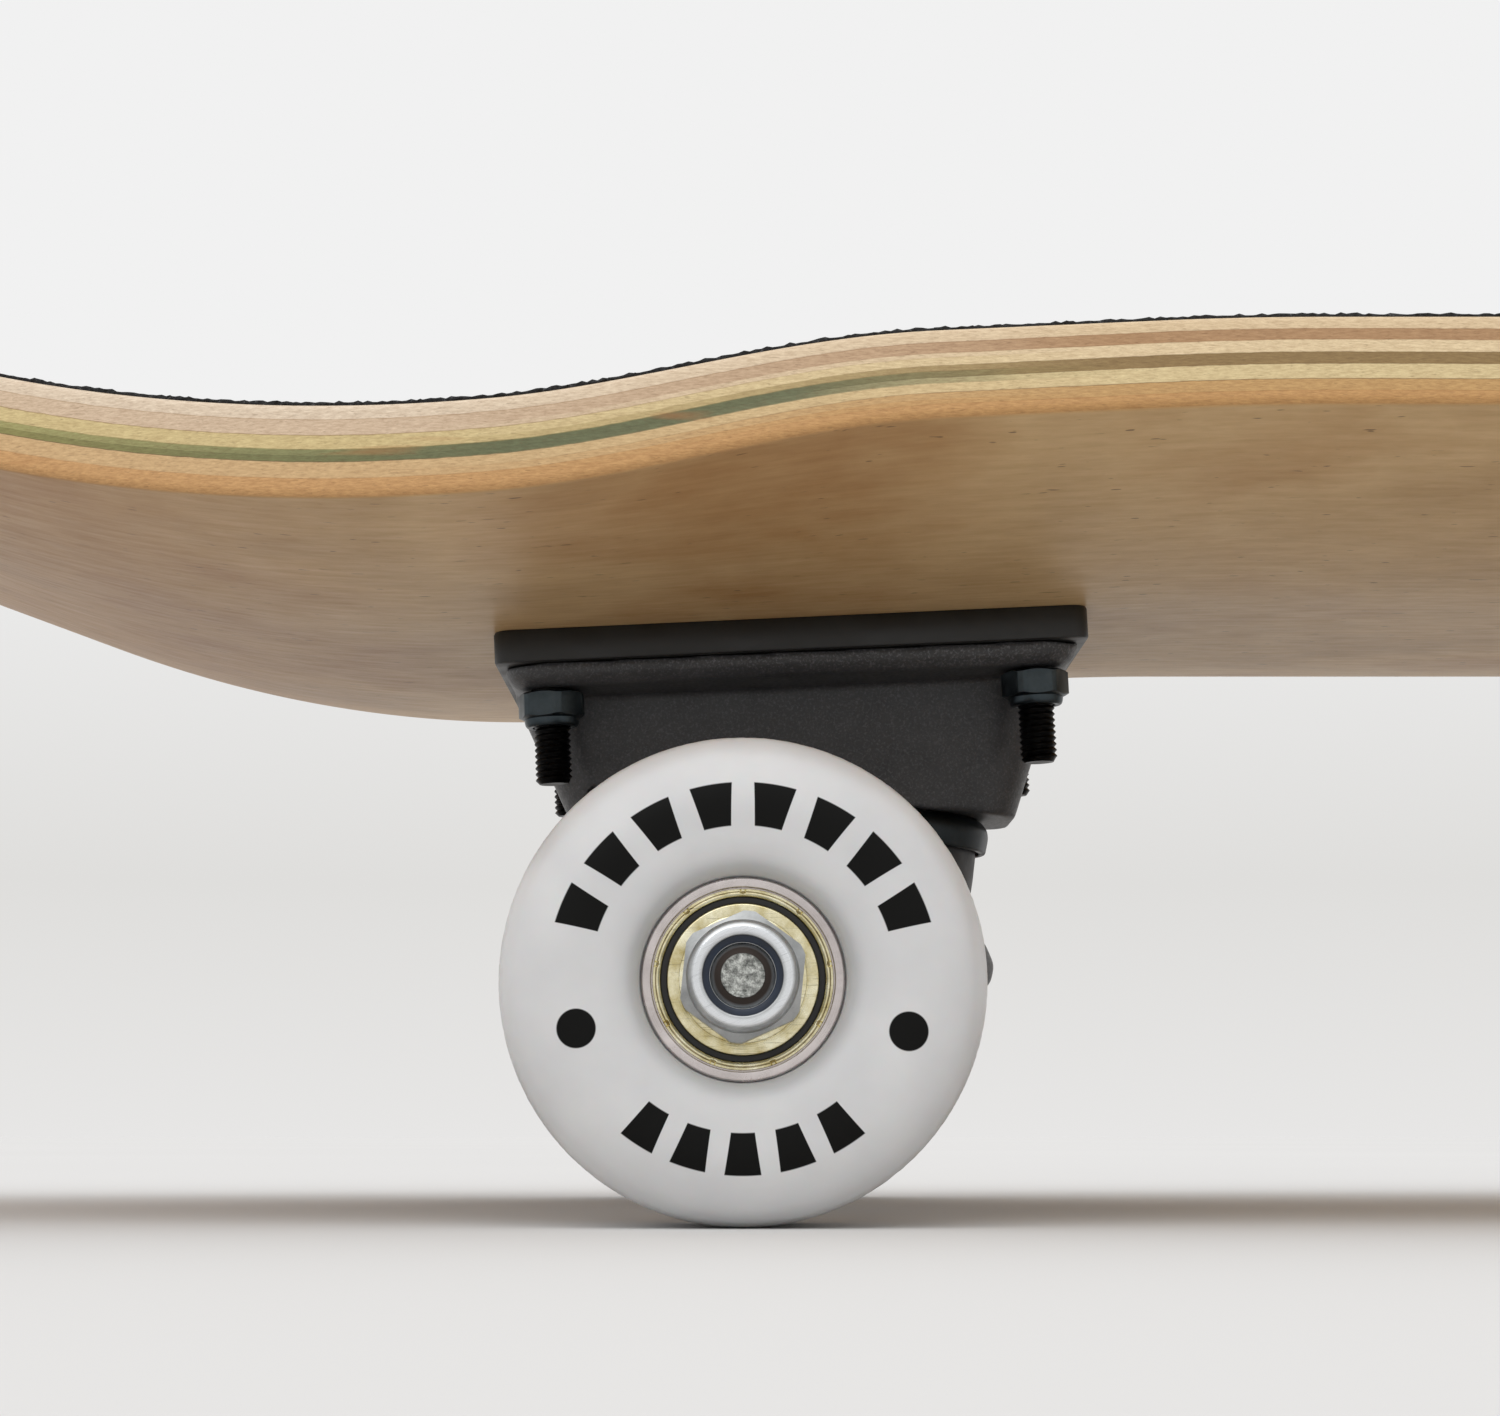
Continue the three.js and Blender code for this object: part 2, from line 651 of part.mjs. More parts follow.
// Bearing outer ring with its two shields, from z = 0 up.
function outerRaceGeometry() {
  const opening = RACE_RADIUS + 0.4;
  return turned([
    [opening, 0],
    [BEARING_RADIUS, 0],
    [BEARING_RADIUS, BEARING_WIDTH],
    [opening, BEARING_WIDTH],
    [opening, BEARING_WIDTH - SHIELD_THICKNESS],
    [BALL_TRACK_RADIUS, BEARING_WIDTH - SHIELD_THICKNESS],
    [BALL_TRACK_RADIUS, SHIELD_THICKNESS],
    [opening, SHIELD_THICKNESS],
  ], AXLE_SEGMENTS);
}

// Two bearing inner rings on their spacer tube, with the middle at z = 0.
function innerSleeveGeometry() {
  const spacerHalf = SPACER_LENGTH / 2;
  const half = spacerHalf + BEARING_WIDTH;
  return turned([
    [SLEEVE_BORE, -half],
    [RACE_RADIUS, -half],
    [RACE_RADIUS, -spacerHalf],
    [SPACER_RADIUS, -spacerHalf],
    [SPACER_RADIUS, spacerHalf],
    [RACE_RADIUS, spacerHalf],
    [RACE_RADIUS, half],
    [SLEEVE_BORE, half],
  ], AXLE_SEGMENTS);
}

const root = new THREE.Group();

function addMesh(name, geometry, meshMaterial, frames) {
  const mesh = new THREE.Mesh(geometry, meshMaterial);
  mesh.name = name;
  const matrix = frames.reduce((sum, frame) => sum.multiply(frame), new THREE.Matrix4());
  matrix.decompose(mesh.position, mesh.quaternion, mesh.scale);
  root.add(mesh);
}

const shapes = {
  riser: riserGeometry(),
  deckBolt: deckBoltGeometry(),
  deckNut: lockNutGeometry(DECK_NUT_FLATS, 3.4, 4.6, 3.5, HOLE_RADIUS),
  baseplate: baseplateGeometry(),
  pivotCup: pivotCupGeometry(),
  kingpin: kingpinGeometry(),
  kingpinNut: lockNutGeometry(KINGPIN_HEAD_FLATS, 5.5, 7.6, 6.6, KINGPIN_BORE),
  cupWasher: cupWasherGeometry(),
  boardsideBushing: boardsideBushingGeometry(),
  roadsideBushing: roadsideBushingGeometry(),
  roadsideWasher: roadsideWasherGeometry(),
  hanger: hangerGeometry(),
  axle: axleGeometry(),
  axleNut: lockNutGeometry(AXLE_NUT_FLATS, 5, 7, 5.9, SLEEVE_BORE),
  wheel: wheelGeometry(),
  outerRace: outerRaceGeometry(),
  innerSleeve: innerSleeveGeometry(),
};

const shifted = (x, y, z) => new THREE.Matrix4().makeTranslation(x, y, z);
const upsideDown = new THREE.Matrix4().makeRotationX(Math.PI);

function addMounting(truck) {
  const onPlate = [truck.frame, plateFrame];
  addMesh(`${truck.name}_riser_pad`, shapes.riser, blackPlastic, onPlate);
  boltPlaces.forEach(([x, y], place) => {
    const nutTop = shifted(x, y, FLANGE_BOTTOM - GAP);
    const count = place + 1;
    const atBolt = [...onPlate, shifted(x, y, 0)];
    addMesh(`${truck.name}_deck_bolt_${count}`, shapes.deckBolt, blackSteel, atBolt);
    addMesh(`${truck.name}_deck_nut_${count}`, shapes.deckNut, darkZinc, [...onPlate, nutTop, upsideDown]);
  });
}

function addTruck(truck) {
  const onKingpin = [truck.frame, kingpinFrame];
  const nutTop = shifted(0, 0, KINGPIN_NUT_LEVEL);
  addMesh(`${truck.name}_baseplate`, shapes.baseplate, castAlloy, [truck.frame]);
  addMesh(`${truck.name}_pivot_cup`, shapes.pivotCup, blackPlastic, [truck.frame, steeringFrame]);
  addMesh(`${truck.name}_kingpin`, shapes.kingpin, blackSteel, onKingpin);
  addMesh(`${truck.name}_kingpin_nut`, shapes.kingpinNut, darkZinc, [...onKingpin, nutTop, upsideDown]);
  addMesh(`${truck.name}_cup_washer`, shapes.cupWasher, darkZinc, onKingpin);
  addMesh(`${truck.name}_boardside_bushing`, shapes.boardsideBushing, blackRubber, onKingpin);
  addMesh(`${truck.name}_roadside_bushing`, shapes.roadsideBushing, blackRubber, onKingpin);
  addMesh(`${truck.name}_roadside_washer`, shapes.roadsideWasher, darkZinc, onKingpin);
  addMesh(`${truck.name}_hanger`, shapes.hanger, castAlloy, [truck.frame]);
  addMesh(`${truck.name}_axle`, shapes.axle, brightZinc, [truck.frame, axleFrame]);
}

function addWheel(truck, sideName, side) {
  const name = `${truck.name}_${sideName}`;
  const outward = new THREE.Matrix4().makeRotationX(-side * Math.PI / 2); // local z outward
  const hub = shifted(truck.frame.elements[12], 0, AXLE_HEIGHT);
  const at = (distance) => [hub, outward, shifted(0, 0, distance)];
  const bearingStarts = {
    inner: WHEEL_CENTRE - SPACER_LENGTH / 2 - BEARING_WIDTH,
    outer: WHEEL_CENTRE + SPACER_LENGTH / 2,
  };
  addMesh(`${name}_wheel`, shapes.wheel, urethane, at(WHEEL_CENTRE));
  Object.entries(bearingStarts).forEach(([place, start]) => {
    addMesh(`${name}_${place}_bearing_ring`, shapes.outerRace, bearingSteel, at(start));
  });
  addMesh(`${name}_inner_races`, shapes.innerSleeve, bearingSteel, at(WHEEL_CENTRE));
  addMesh(`${name}_axle_nut`, shapes.axleNut, brightZinc, at(AXLE_NUT_START));
}

addMesh('deck', deckGeometry(), maple, []);
addMesh('grip_tape', gripGeometry(), grit, []);
trucks.forEach((truck) => {
  addMounting(truck);
  addTruck(truck);
  addWheel(truck, 'left', -1);
  addWheel(truck, 'right', 1);
});

export default root;
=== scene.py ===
"""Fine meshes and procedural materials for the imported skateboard.

Shapes are written in millimetres, each in the frame of its own sub-part, and placed in metres.
Inside a truck the origin is at the axle's middle and +x points to the middle of the board.
"""

import json
import math

import bmesh
import bpy
import numpy as np
from mathutils import Matrix, Vector


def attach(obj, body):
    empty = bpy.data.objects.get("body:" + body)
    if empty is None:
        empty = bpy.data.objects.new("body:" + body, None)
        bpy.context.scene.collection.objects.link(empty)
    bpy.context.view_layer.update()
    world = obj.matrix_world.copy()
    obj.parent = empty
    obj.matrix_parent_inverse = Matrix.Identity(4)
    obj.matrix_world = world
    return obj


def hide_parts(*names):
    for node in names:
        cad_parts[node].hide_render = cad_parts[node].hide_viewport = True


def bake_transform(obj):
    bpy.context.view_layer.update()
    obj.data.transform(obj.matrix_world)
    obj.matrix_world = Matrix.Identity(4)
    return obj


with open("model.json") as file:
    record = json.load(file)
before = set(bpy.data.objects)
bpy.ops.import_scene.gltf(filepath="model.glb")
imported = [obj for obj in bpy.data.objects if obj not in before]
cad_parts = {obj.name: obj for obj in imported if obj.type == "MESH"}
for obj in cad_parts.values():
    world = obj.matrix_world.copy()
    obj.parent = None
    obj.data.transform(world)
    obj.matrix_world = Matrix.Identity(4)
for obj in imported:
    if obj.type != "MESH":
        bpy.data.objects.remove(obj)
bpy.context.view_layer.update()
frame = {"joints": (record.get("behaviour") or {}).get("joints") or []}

MM = 0.001
joints = {joint["name"]: joint for joint in frame["joints"]}
AXLE_X, WHEEL_CENTRE, AXLE_HEIGHT = [value / MM for value in joints["tail_right_spin"]["pos_m"]]

# Deck
DECK_WIDTH = 197
DECK_THICKNESS = 10.6
TIP_REACH = 186
TAPER_START = 24
OUTLINE_POWER = 2.2
LOWER_EDGE_ROUND = 0.9
UPPER_EDGE_ROUND = 0.9
GRIP_SHEET = 0.38
GRIT_HEIGHT = 0.26
BOARD_TOP = 11.55
PATCH_TILT = math.radians(2.6)
PATCH_CENTRE = 6
PATCH_HEIGHT = 49.87
PATCH_HALF = 40
CAMBER_BLEND = 18
FLAT_HALF_WIDTH = 28
CONCAVE_POWER = 1.6
CONCAVE_MIDDLE = 9.6
CONCAVE_KICK = 4.4
CONCAVE_FADE = (-28, 21.6)
KICK_START = -30
KICK_RADIUS = 187
KICK_ANGLE = math.radians(22.6)

# Mounting
BOLT_SPACING_X = 63.5
BOLT_SPACING_Y = 41.3
BOLT_RADIUS = 2.4
BOLT_HEAD_RADIUS = 4.8
BOLT_HEAD_HEIGHT = 2.6
SINK_RADIUS = 5.1
BOLT_REACH = 19.6
BOLT_PITCH = 0.79
HOLE_RADIUS = 2.7
RISER_LENGTH = 77.3
RISER_WIDTH = 55
RISER_CORNER = 2.5
RISER_BOTTOM = -4.25
FLANGE_TOP = -4.3
FLANGE_BOTTOM = -7.55

# Truck, in its own frame
KINGPIN_TILT = math.radians(4)
KINGPIN_X = 19.2
KINGPIN_Z = 23.5
KINGPIN_RADIUS = 4.76
KINGPIN_PITCH = 1.06
SEAT_LEVEL = 3.35
SEAT_RADIUS = 42
RING_TOP = -12
RING_BOTTOM = -20.5
RING_LEVEL = -16.2
RING_HOLE_RADIUS = 6.8
BUSHING_SEAT_RADIUS = 13.4
LOWER_WASHER_LEVEL = -29.6
KINGPIN_NUT_LEVEL = -31.4
KINGPIN_END = -40.5
KINGPIN_HEAD_START = 14
HEAD_POCKET_RADIUS = 9
CUSHION_WASHER = 1.6
PIVOT_X = -13
PIVOT_Z = 29.5
NOSE_START = 22
CUP_MOUTH = 33
CUP_FLOOR = 42.8
CUP_END = 44.6
CUP_RADIUS = 7.4
BOSS_RADIUS = 10.4
BOSS_END = 46.4

# Axle and wheels
HANGER_HALF = 66.6
AXLE_RADIUS = 3.97
AXLE_HALF = 99.2
AXLE_PITCH = 1.06
SLEEVE_BORE = 4.1
BEARING_RADIUS = 11
BEARING_WIDTH = 7
SHIELD_DEPTH = 0.55
RACE_RADIUS = 6.2
SPACER_HALF = 5
WHEEL_RADIUS = 26.5
WHEEL_HALF = 16
AXLE_NUT_START = 92.2

# Lock nuts: across flats, hexagon's height, whole height, collar's radius, bore's radius
DECK_NUT = (8.0, 3.5, 4.6, 3.5, BOLT_RADIUS - 0.2)
KINGPIN_NUT = (14.3, 5.6, 7.7, 6.6, KINGPIN_RADIUS - 0.3)
AXLE_NUT = (12.7, 5.0, 7.2, 5.9, AXLE_RADIUS - 0.5)

# Turns of the nuts and wheels about their axes
DECK_NUT_TURNS = [0.25, 1.1, 0.0, 0.7]
AXLE_NUT_TURNS = {"nose_left": 0.42, "nose_right": 0.9, "tail_left": 0.35, "tail_right": 1.7}
WHEEL_TURNS = {"nose_left": 0, "nose_right": math.pi, "tail_left": math.pi / 2, "tail_right": -math.pi / 2}

# Studio: the air's colour by degrees up, and the camera
AIR_SHADES = [(0, (231, 230, 229)), (4.5, (223, 222, 220)), (13, (241, 241, 241))]
FLOOR_RADIUS = 60
CAMERA_PLACE = (-AXLE_X + 0.75, -433, AXLE_HEIGHT - 16.75)
CAMERA_RISE = math.radians(7.69)
CAMERA_LENS = 76.14

rng = np.random.default_rng(11)


# ---------- frames
def shift(x, y, z):
    return Matrix.Translation((x * MM, y * MM, z * MM))


def frame_at(x, z, turn):
    return shift(x, 0, z) @ Matrix.Rotation(turn, 4, "Y")


plate_frame = frame_at(PATCH_CENTRE, PATCH_HEIGHT, -PATCH_TILT)
kingpin_frame = frame_at(KINGPIN_X, KINGPIN_Z, KINGPIN_TILT)
ring_centre = (kingpin_frame @ Vector((0, 0, RING_LEVEL * MM))) / MM
steering_turn = math.atan2(PIVOT_X - ring_centre.x, PIVOT_Z - ring_centre.z)
steering_frame = frame_at(ring_centre.x, ring_centre.z, steering_turn)
axle_frame = Matrix.Rotation(-math.pi / 2, 4, "X")
upside_down = Matrix.Rotation(math.pi, 4, "X")
here = Matrix.Identity(4)

trucks = {
    "nose": shift(-AXLE_X, 0, AXLE_HEIGHT),
    "tail": shift(AXLE_X, 0, AXLE_HEIGHT) @ Matrix.Rotation(math.pi, 4, "Z"),
}
bolt_places = [
    (side_x * BOLT_SPACING_X / 2, side_y * BOLT_SPACING_Y / 2)
    for side_x in (-1, 1)
    for side_y in (-1, 1)
]


# ---------- mesh helpers
def cleaned(mesh):
    """Merges doubled points, drops flat faces and points every face outwards."""
    work = bmesh.new()
    work.from_mesh(mesh)
    bmesh.ops.remove_doubles(work, verts=work.verts, dist=1e-4 * MM)
    bmesh.ops.dissolve_degenerate(work, edges=work.edges, dist=1e-4 * MM)
    bmesh.ops.recalc_face_normals(work, faces=work.faces)
    work.to_mesh(mesh)
    work.free()
    return mesh


def shaded(mesh, sharp=38):
    """Smooth shading, with edges sharper than an angle in degrees kept crisp."""
    mesh.polygons.foreach_set("use_smooth", np.ones(len(mesh.polygons), bool))
    mesh.set_sharp_from_angle(angle=math.radians(sharp))
    return mesh


def skin(rings, closed=False):
    """Mesh through rings of points, an array of ring, point and coordinate.

    A closed skin joins its last ring to its first; an open one is capped at both ends.
    """
    rings = np.asarray(rings, float)
    count, size = rings.shape[:2]
    index = np.arange(count * size).reshape(count, size)
    side = np.roll(index, -1, axis=1)
    if closed:
        above, above_side = np.roll(index, -1, axis=0), np.roll(side, -1, axis=0)
        faces = np.stack([index, side, above_side, above], -1).reshape(-1, 4).tolist()
    else:
        faces = np.stack([index[:-1], side[:-1], side[1:], index[1:]], -1).reshape(-1, 4).tolist()
        faces += [index[0][::-1].tolist(), index[-1].tolist()]
    mesh = bpy.data.meshes.new("shape")
    mesh.from_pydata((rings.reshape(-1, 3) * MM).tolist(), [], faces)
    return cleaned(mesh)


def around(profile, segments):
    """Rings about Z through (radius, height) pairs."""
    profile = np.asarray(profile, float)
    angles = np.linspace(0, 2 * math.pi, segments, endpoint=False)
    radius = profile[:, 0][:, None]
    x = radius * np.cos(angles)
    y = radius * np.sin(angles)
    z = np.broadcast_to(profile[:, 1][:, None], x.shape)
    return np.stack([x, y, z], -1)


def turned(profile, segments=72, closed=True):
    """Turned shape: the profile closes on itself, or starts and ends on the axis."""
    return shaded(skin(around(profile, segments), closed))


def rod(radius, low, high, segments=48):
    return turned([(0, low), (radius, low), (radius, high), (0, high)], segments, closed=False)


def filleted(corners, steps=4, closed=True):
    """Profile through (radius, height, fillet) corners, each rounded by its fillet."""
    corners = [tuple(corner) + (0,) * (3 - len(corner)) for corner in corners]
    result = []
    for place, (radius, height, fillet) in enumerate(corners):
        at_end = not closed and place in (0, len(corners) - 1)
        if at_end or not fillet:
            result.append((radius, height))
            continue
        corner = np.array([radius, height], float)
        ways = []
        for other in (corners[place - 1], corners[(place + 1) % len(corners)]):
            way = np.array(other[:2], float) - corner
            length = np.linalg.norm(way)
            ways.append(way / length * min(fillet, 0.48 * length))
        for step in range(steps + 1):
            t = step / steps
            result.append(tuple(corner + ways[0] * (1 - t) ** 2 + ways[1] * t ** 2))
    return result


def lathe(corners, steps=4, segments=72, closed=True):
    """Turned shape with filleted corners."""
    return turned(filleted(corners, steps, closed), segments, closed)


def rounded_rectangle(length, width, radius, centre_x, level, steps=8):
    """Corner arcs of a rectangle, counter-clockwise from above."""
    points = []
    for corner in range(4):
        side_x = 1 if corner in (0, 3) else -1
        side_y = 1 if corner < 2 else -1
        for step in range(steps + 1):
            angle = (corner + step / steps) * math.pi / 2
            x = centre_x + side_x * (length / 2 - radius) + radius * math.cos(angle)
            y = side_y * (width / 2 - radius) + radius * math.sin(angle)
            points.append((x, y, level))
    return points


def prism(outline, low, high):
    return skin([[(x, y, level) for x, y in outline] for level in (low, high)])


def scratch_object(mesh):
    obj = bpy.data.objects.new("scratch", mesh)
    bpy.context.scene.collection.objects.link(obj)
    return obj


def evaluated(obj):
    """The object's mesh with its modifiers applied; the object is removed."""
    depsgraph = bpy.context.evaluated_depsgraph_get()
    mesh = bpy.data.meshes.new_from_object(obj.evaluated_get(depsgraph))
    bpy.data.objects.remove(obj)
    return mesh


def joined(parts):
    """One mesh from (mesh, frame) pairs, which may overlap."""
    work = bmesh.new()
    for mesh, place in parts:
        part = mesh.copy()
        part.transform(place)
        work.from_mesh(part)
    mesh = bpy.data.meshes.new("shape")
    work.to_mesh(mesh)
    work.free()
    return mesh


def combined(mesh, tools, operation="DIFFERENCE"):
    """Cuts the mesh by, or joins it to, (mesh, frame) tools."""
    body = scratch_object(mesh)
    helpers = []
    for tool, place in tools:
        helper = scratch_object(tool)
        helper.matrix_world = place
        helpers.append(helper)
        step = body.modifiers.new("cut", "BOOLEAN")
        step.operation = operation
        step.solver = "MANIFOLD"
        step.object = helper
    bpy.context.view_layer.update()
    result = evaluated(body)
    for helper in helpers:
        bpy.data.objects.remove(helper)
    return result


def cast(parts, voxel, rounds):
    """One casting with soft fillets, from overlapping closed (mesh, frame) parts."""
    body = scratch_object(joined(parts))
    remesh = body.modifiers.new("fuse", "REMESH")
    remesh.mode = "VOXEL"
    remesh.voxel_size = voxel * MM
    smooth = body.modifiers.new("soften", "SMOOTH")
    smooth.factor = 0.5
    smooth.iterations = rounds
    return evaluated(body)


def threaded(radius, pitch, depth, low, high, segments=40, per_turn=8):
    """Rings of a right-handed thread about Z between two heights."""
    heights = np.linspace(low, high, max(2, int((high - low) / pitch * per_turn)))
    angles = np.linspace(0, 2 * math.pi, segments, endpoint=False)
    turn = heights[:, None] / pitch - angles[None, :] / (2 * math.pi)
    wave = np.abs((turn % 1) * 2 - 1)
    radii = radius - depth * np.clip(1.25 * wave - 0.12, 0, 1)
    x = radii * np.cos(angles)
    y = radii * np.sin(angles)
    z = np.broadcast_to(heights[:, None], x.shape)
    return np.stack([x, y, z], -1)


def visible(name, mesh, material, place):
    """Adds a mesh at its place, with the given material."""
    mesh = mesh.copy()
    mesh.materials.clear()
    mesh.materials.append(material)
    obj = bpy.data.objects.new(name, mesh)
    bpy.context.scene.collection.objects.link(obj)
    obj.matrix_world = place
    return obj


def piece(name, mesh, material, place, body, node=None):
    """Adds a mesh that rides on a body, and may stand for a CAD node."""
    obj = visible(name, mesh, material, place)
    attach(obj, body)
    if node:
        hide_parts(node)


def stand_in(node, shape, material, place, body):
    """Adds the fine shape of one CAD node, named after it."""
    piece(f"{node}_fine", shapes[shape], material, place, body, node)


# ---------- material helpers
def srgb(red, green, blue):
    """Linear colour from 0 to 255 sRGB values."""
    def linear(value):
        value /= 255
        return value / 12.92 if value <= 0.04045 else ((value + 0.055) / 1.055) ** 2.4
    return (linear(red), linear(green), linear(blue), 1)


def fill_ramp(color_ramp, stops):
    elements = color_ramp.elements
    while len(elements) < len(stops):
        elements.new(0.5)
    for element, (position, color) in zip(elements, stops):
        element.position = position
        element.color = srgb(*color)


class Look:
    """A procedural material: a Principled shader and the nodes that feed it."""

    def __init__(self, name, **sockets):
        self.material = bpy.data.materials.new(name)
        self.material.use_nodes = True
        self.tree = self.material.node_tree
        self.shader = self.tree.nodes["Principled BSDF"]
        for socket, value in sockets.items():
            self.feed(self.shader.inputs[socket.replace("_", " ")], value)
        self.coordinates = self.node("TexCoord").outputs["Object"]

    def node(self, kind, inputs=None, **settings):
        node = self.tree.nodes.new("ShaderNode" + kind)
        for key, value in settings.items():
            setattr(node, key, value)
        for socket, value in (inputs or {}).items():
            self.feed(node.inputs[socket], value)
        return node

    def feed(self, socket, value):
        if isinstance(value, bpy.types.NodeSocket):
            self.tree.links.new(value, socket)
        else:
            socket.default_value = value

    def set(self, socket, value):
        self.feed(self.shader.inputs[socket], value)

    def stretched(self, x, y, z):
        """Object coordinates scaled so that one unit is one feature in each direction."""
        scale = (1 / (x * MM), 1 / (y * MM), 1 / (z * MM))
        return self.node("Mapping", {"Vector": self.coordinates, "Scale": scale}).outputs[0]

    def noise(self, size, detail=3, roughness=0.5):
        """Noise with features of a size in millimetres, or of a size in each direction."""
        sizes = size if isinstance(size, tuple) else (size, size, size)
        inputs = {"Vector": self.stretched(*sizes), "Scale": 1.0, "Detail": detail, "Roughness": roughness}
        return self.node("TexNoise", inputs).outputs["Fac"]

    def cells(self, size):
        """Distance to the nearest of scattered points, with cells of a size in millimetres."""
        inputs = {"Vector": self.stretched(size, size, size), "Scale": 1.0}
        return self.node("TexVoronoi", inputs).outputs["Distance"]

    def math(self, operation, first, second=0.0):
        return self.node("Math", {0: first, 1: second}, operation=operation).outputs[0]

    def plus(self, first, second):
        return self.math("ADD", first, second)

    def minus(self, first, second):
        return self.math("SUBTRACT", first, second)

    def times(self, first, second):
        return self.math("MULTIPLY", first, second)

    def span(self, value, low, high, to_low=0.0, to_high=1.0):
        """Value mapped from one range to another and held inside it."""
        inputs = {"Value": value, "From Min": low, "From Max": high, "To Min": to_low, "To Max": to_high}
        return self.node("MapRange", inputs).outputs["Result"]

    def mix(self, share, first, second, blend="MIX"):
        """Two colours mixed, each a node's output or an sRGB triple."""
        node = self.node("Mix", {0: share}, data_type="RGBA", blend_type=blend)
        for socket, color in ((6, first), (7, second)):
            self.feed(node.inputs[socket], srgb(*color) if isinstance(color, tuple) else color)
        return node.outputs[2]

    def ramp(self, value, stops):
        """Colour by value, through (value, sRGB colour) stops."""
        node = self.node("ValToRGB", {"Fac": value})
        fill_ramp(node.color_ramp, stops)
        return node.outputs["Color"]

    def mottled(self, value, dark, light):
        return self.ramp(value, [(0.3, dark), (0.7, light)])

    def bump(self, height, distance, strength):
        inputs = {"Height": height, "Distance": distance * MM, "Strength": strength}
        self.set("Normal", self.node("Bump", inputs).outputs["Normal"])

    def axes(self):
        """The three object coordinates in millimetres."""
        parts = self.node("SeparateXYZ", {0: self.coordinates}).outputs
        return [self.times(part, 1 / MM) for part in parts]

    def radius(self):
        """Distance from the local Z axis in millimetres."""
        x, y, _ = self.axes()
        return self.length(x, y)

    def length(self, x, y):
        return self.math("SQRT", self.plus(self.times(x, x), self.times(y, y)))


# ---------- materials
# Each ply's top height, its colour and the colour of the glue line above it, from the bottom up
MIDDLE_PLIES = [
    (1.4, (206, 160, 104), (190, 142, 88)),
    (2.8, (204, 164, 108), (126, 98, 58)),
    (4.6, (226, 206, 158), (140, 114, 72)),
    (6.0, (152, 126, 82), (136, 110, 70)),
    (7.5, (236, 214, 174), (166, 126, 88)),
    (8.8, (186, 148, 108), (160, 122, 84)),
    (10.6, (230, 206, 168), (200, 176, 140)),
]
KICK_PLIES = [
    (2.0, (212, 166, 112), (196, 152, 102)),
    (3.9, (218, 184, 136), (92, 70, 40)),
    (4.6, (146, 142, 86), (136, 132, 80)),
    (5.35, (172, 168, 110), (160, 146, 94)),
    (6.95, (222, 202, 148), (164, 134, 92)),
    (8.75, (224, 200, 172), (190, 160, 128)),
    (10.6, (236, 218, 194), (204, 182, 150)),
]


def ply_ramp(look, height, layers):
    """Colours through the deck's edge, from the bottom up."""
    half_glue = 0.06
    stops = []
    bottom = 0
    for top, color, glue in layers:
        stops.append(((bottom + half_glue) / BOARD_TOP, color))
        stops.append(((top - half_glue) / BOARD_TOP, color))
        stops.append((top / BOARD_TOP, glue))
        bottom = top
    return look.ramp(look.math("DIVIDE", height, BOARD_TOP), stops)


def ply_edge(look, height, x, fibres):
    """The deck's edge: seven plies, greyer in the middle of the board than on the kicks."""
    waver = look.times(look.minus(look.noise((60, 60, 60), 3), 0.5), 0.5)
    fray = look.times(look.minus(look.noise((1.6, 1.6, 0.5), 4), 0.5), 0.16)
    level = look.plus(height, look.plus(waver, fray))
    middle = ply_ramp(look, level, MIDDLE_PLIES)
    kick = ply_ramp(look, level, KICK_PLIES)
    far = look.plus(look.math("ABSOLUTE", x), look.times(look.noise(30, 2), 40))
    plies = look.mix(look.span(far, 190, 275), middle, kick)
    dyed_ply = look.times(look.span(level, 3.85, 4.0), look.span(level, 5.4, 5.25))
    dyed_stretch = look.times(look.span(far, 205, 232), look.span(far, 318, 262))
    dyed = look.times(dyed_ply, dyed_stretch)
    plies = look.mix(look.times(dyed, 0.85), plies, (98, 108, 80))
    pores = look.span(look.noise((0.9, 0.9, 0.14), 2), 0.62, 0.72)
    plies = look.mix(look.span(fibres, 0.3, 0.75, 0.0, 0.55), plies, (150, 118, 80), "MULTIPLY")
    plies = look.mix(look.times(pores, 0.35), plies, (110, 80, 50))
    stain = look.times(look.span(look.noise((26, 26, 3), 2), 0.66, 0.74), 0.5)
    return look.mix(stain, plies, (168, 110, 62))


def veneer_face(look, x, y, grain):
    """The bottom veneer's face: grain along the board, with warm painted shade by the trucks and painted
    shade towards the tips.
    """
    bands = look.noise((48, 40, 40), 5, 0.6)
    flecks = look.span(look.noise((2.6, 0.7, 9), 1), 0.73, 0.78)
    face = look.ramp(bands, [
        (0.3, (192, 158, 111)), (0.5, (214, 181, 133)), (0.7, (188, 146, 96))])
    face = look.mix(look.span(grain, 0.35, 0.7, 0.0, 0.24), face, (160, 124, 86), "MULTIPLY")
    face = look.mix(look.times(flecks, 0.7), face, (84, 58, 34))
    # Painted shade: a warm brown darkening round each truck stands for the truck's shadow on the underside,
    # strongest towards the rails.
    from_middle = look.math("ABSOLUTE", x)
    along = look.times(look.minus(from_middle, AXLE_X + 4), 2)
    reach = look.length(along, look.times(y, 0.5))
    reach = look.plus(reach, look.times(look.noise(34, 3), 36))
    near_rail = look.span(look.math("ABSOLUTE", y), 60, 90, 0.2, 1.0)
    truck_shade = look.times(look.span(reach, 70, 95, 0.36, 0.0), near_rail)
    face = look.mix(truck_shade, face, (186, 138, 88), "MULTIPLY")
    # Painted shade: the face is darker and warmer towards the tips.
    return look.mix(look.span(from_middle, 250, 292), face, (217, 202, 186), "MULTIPLY")


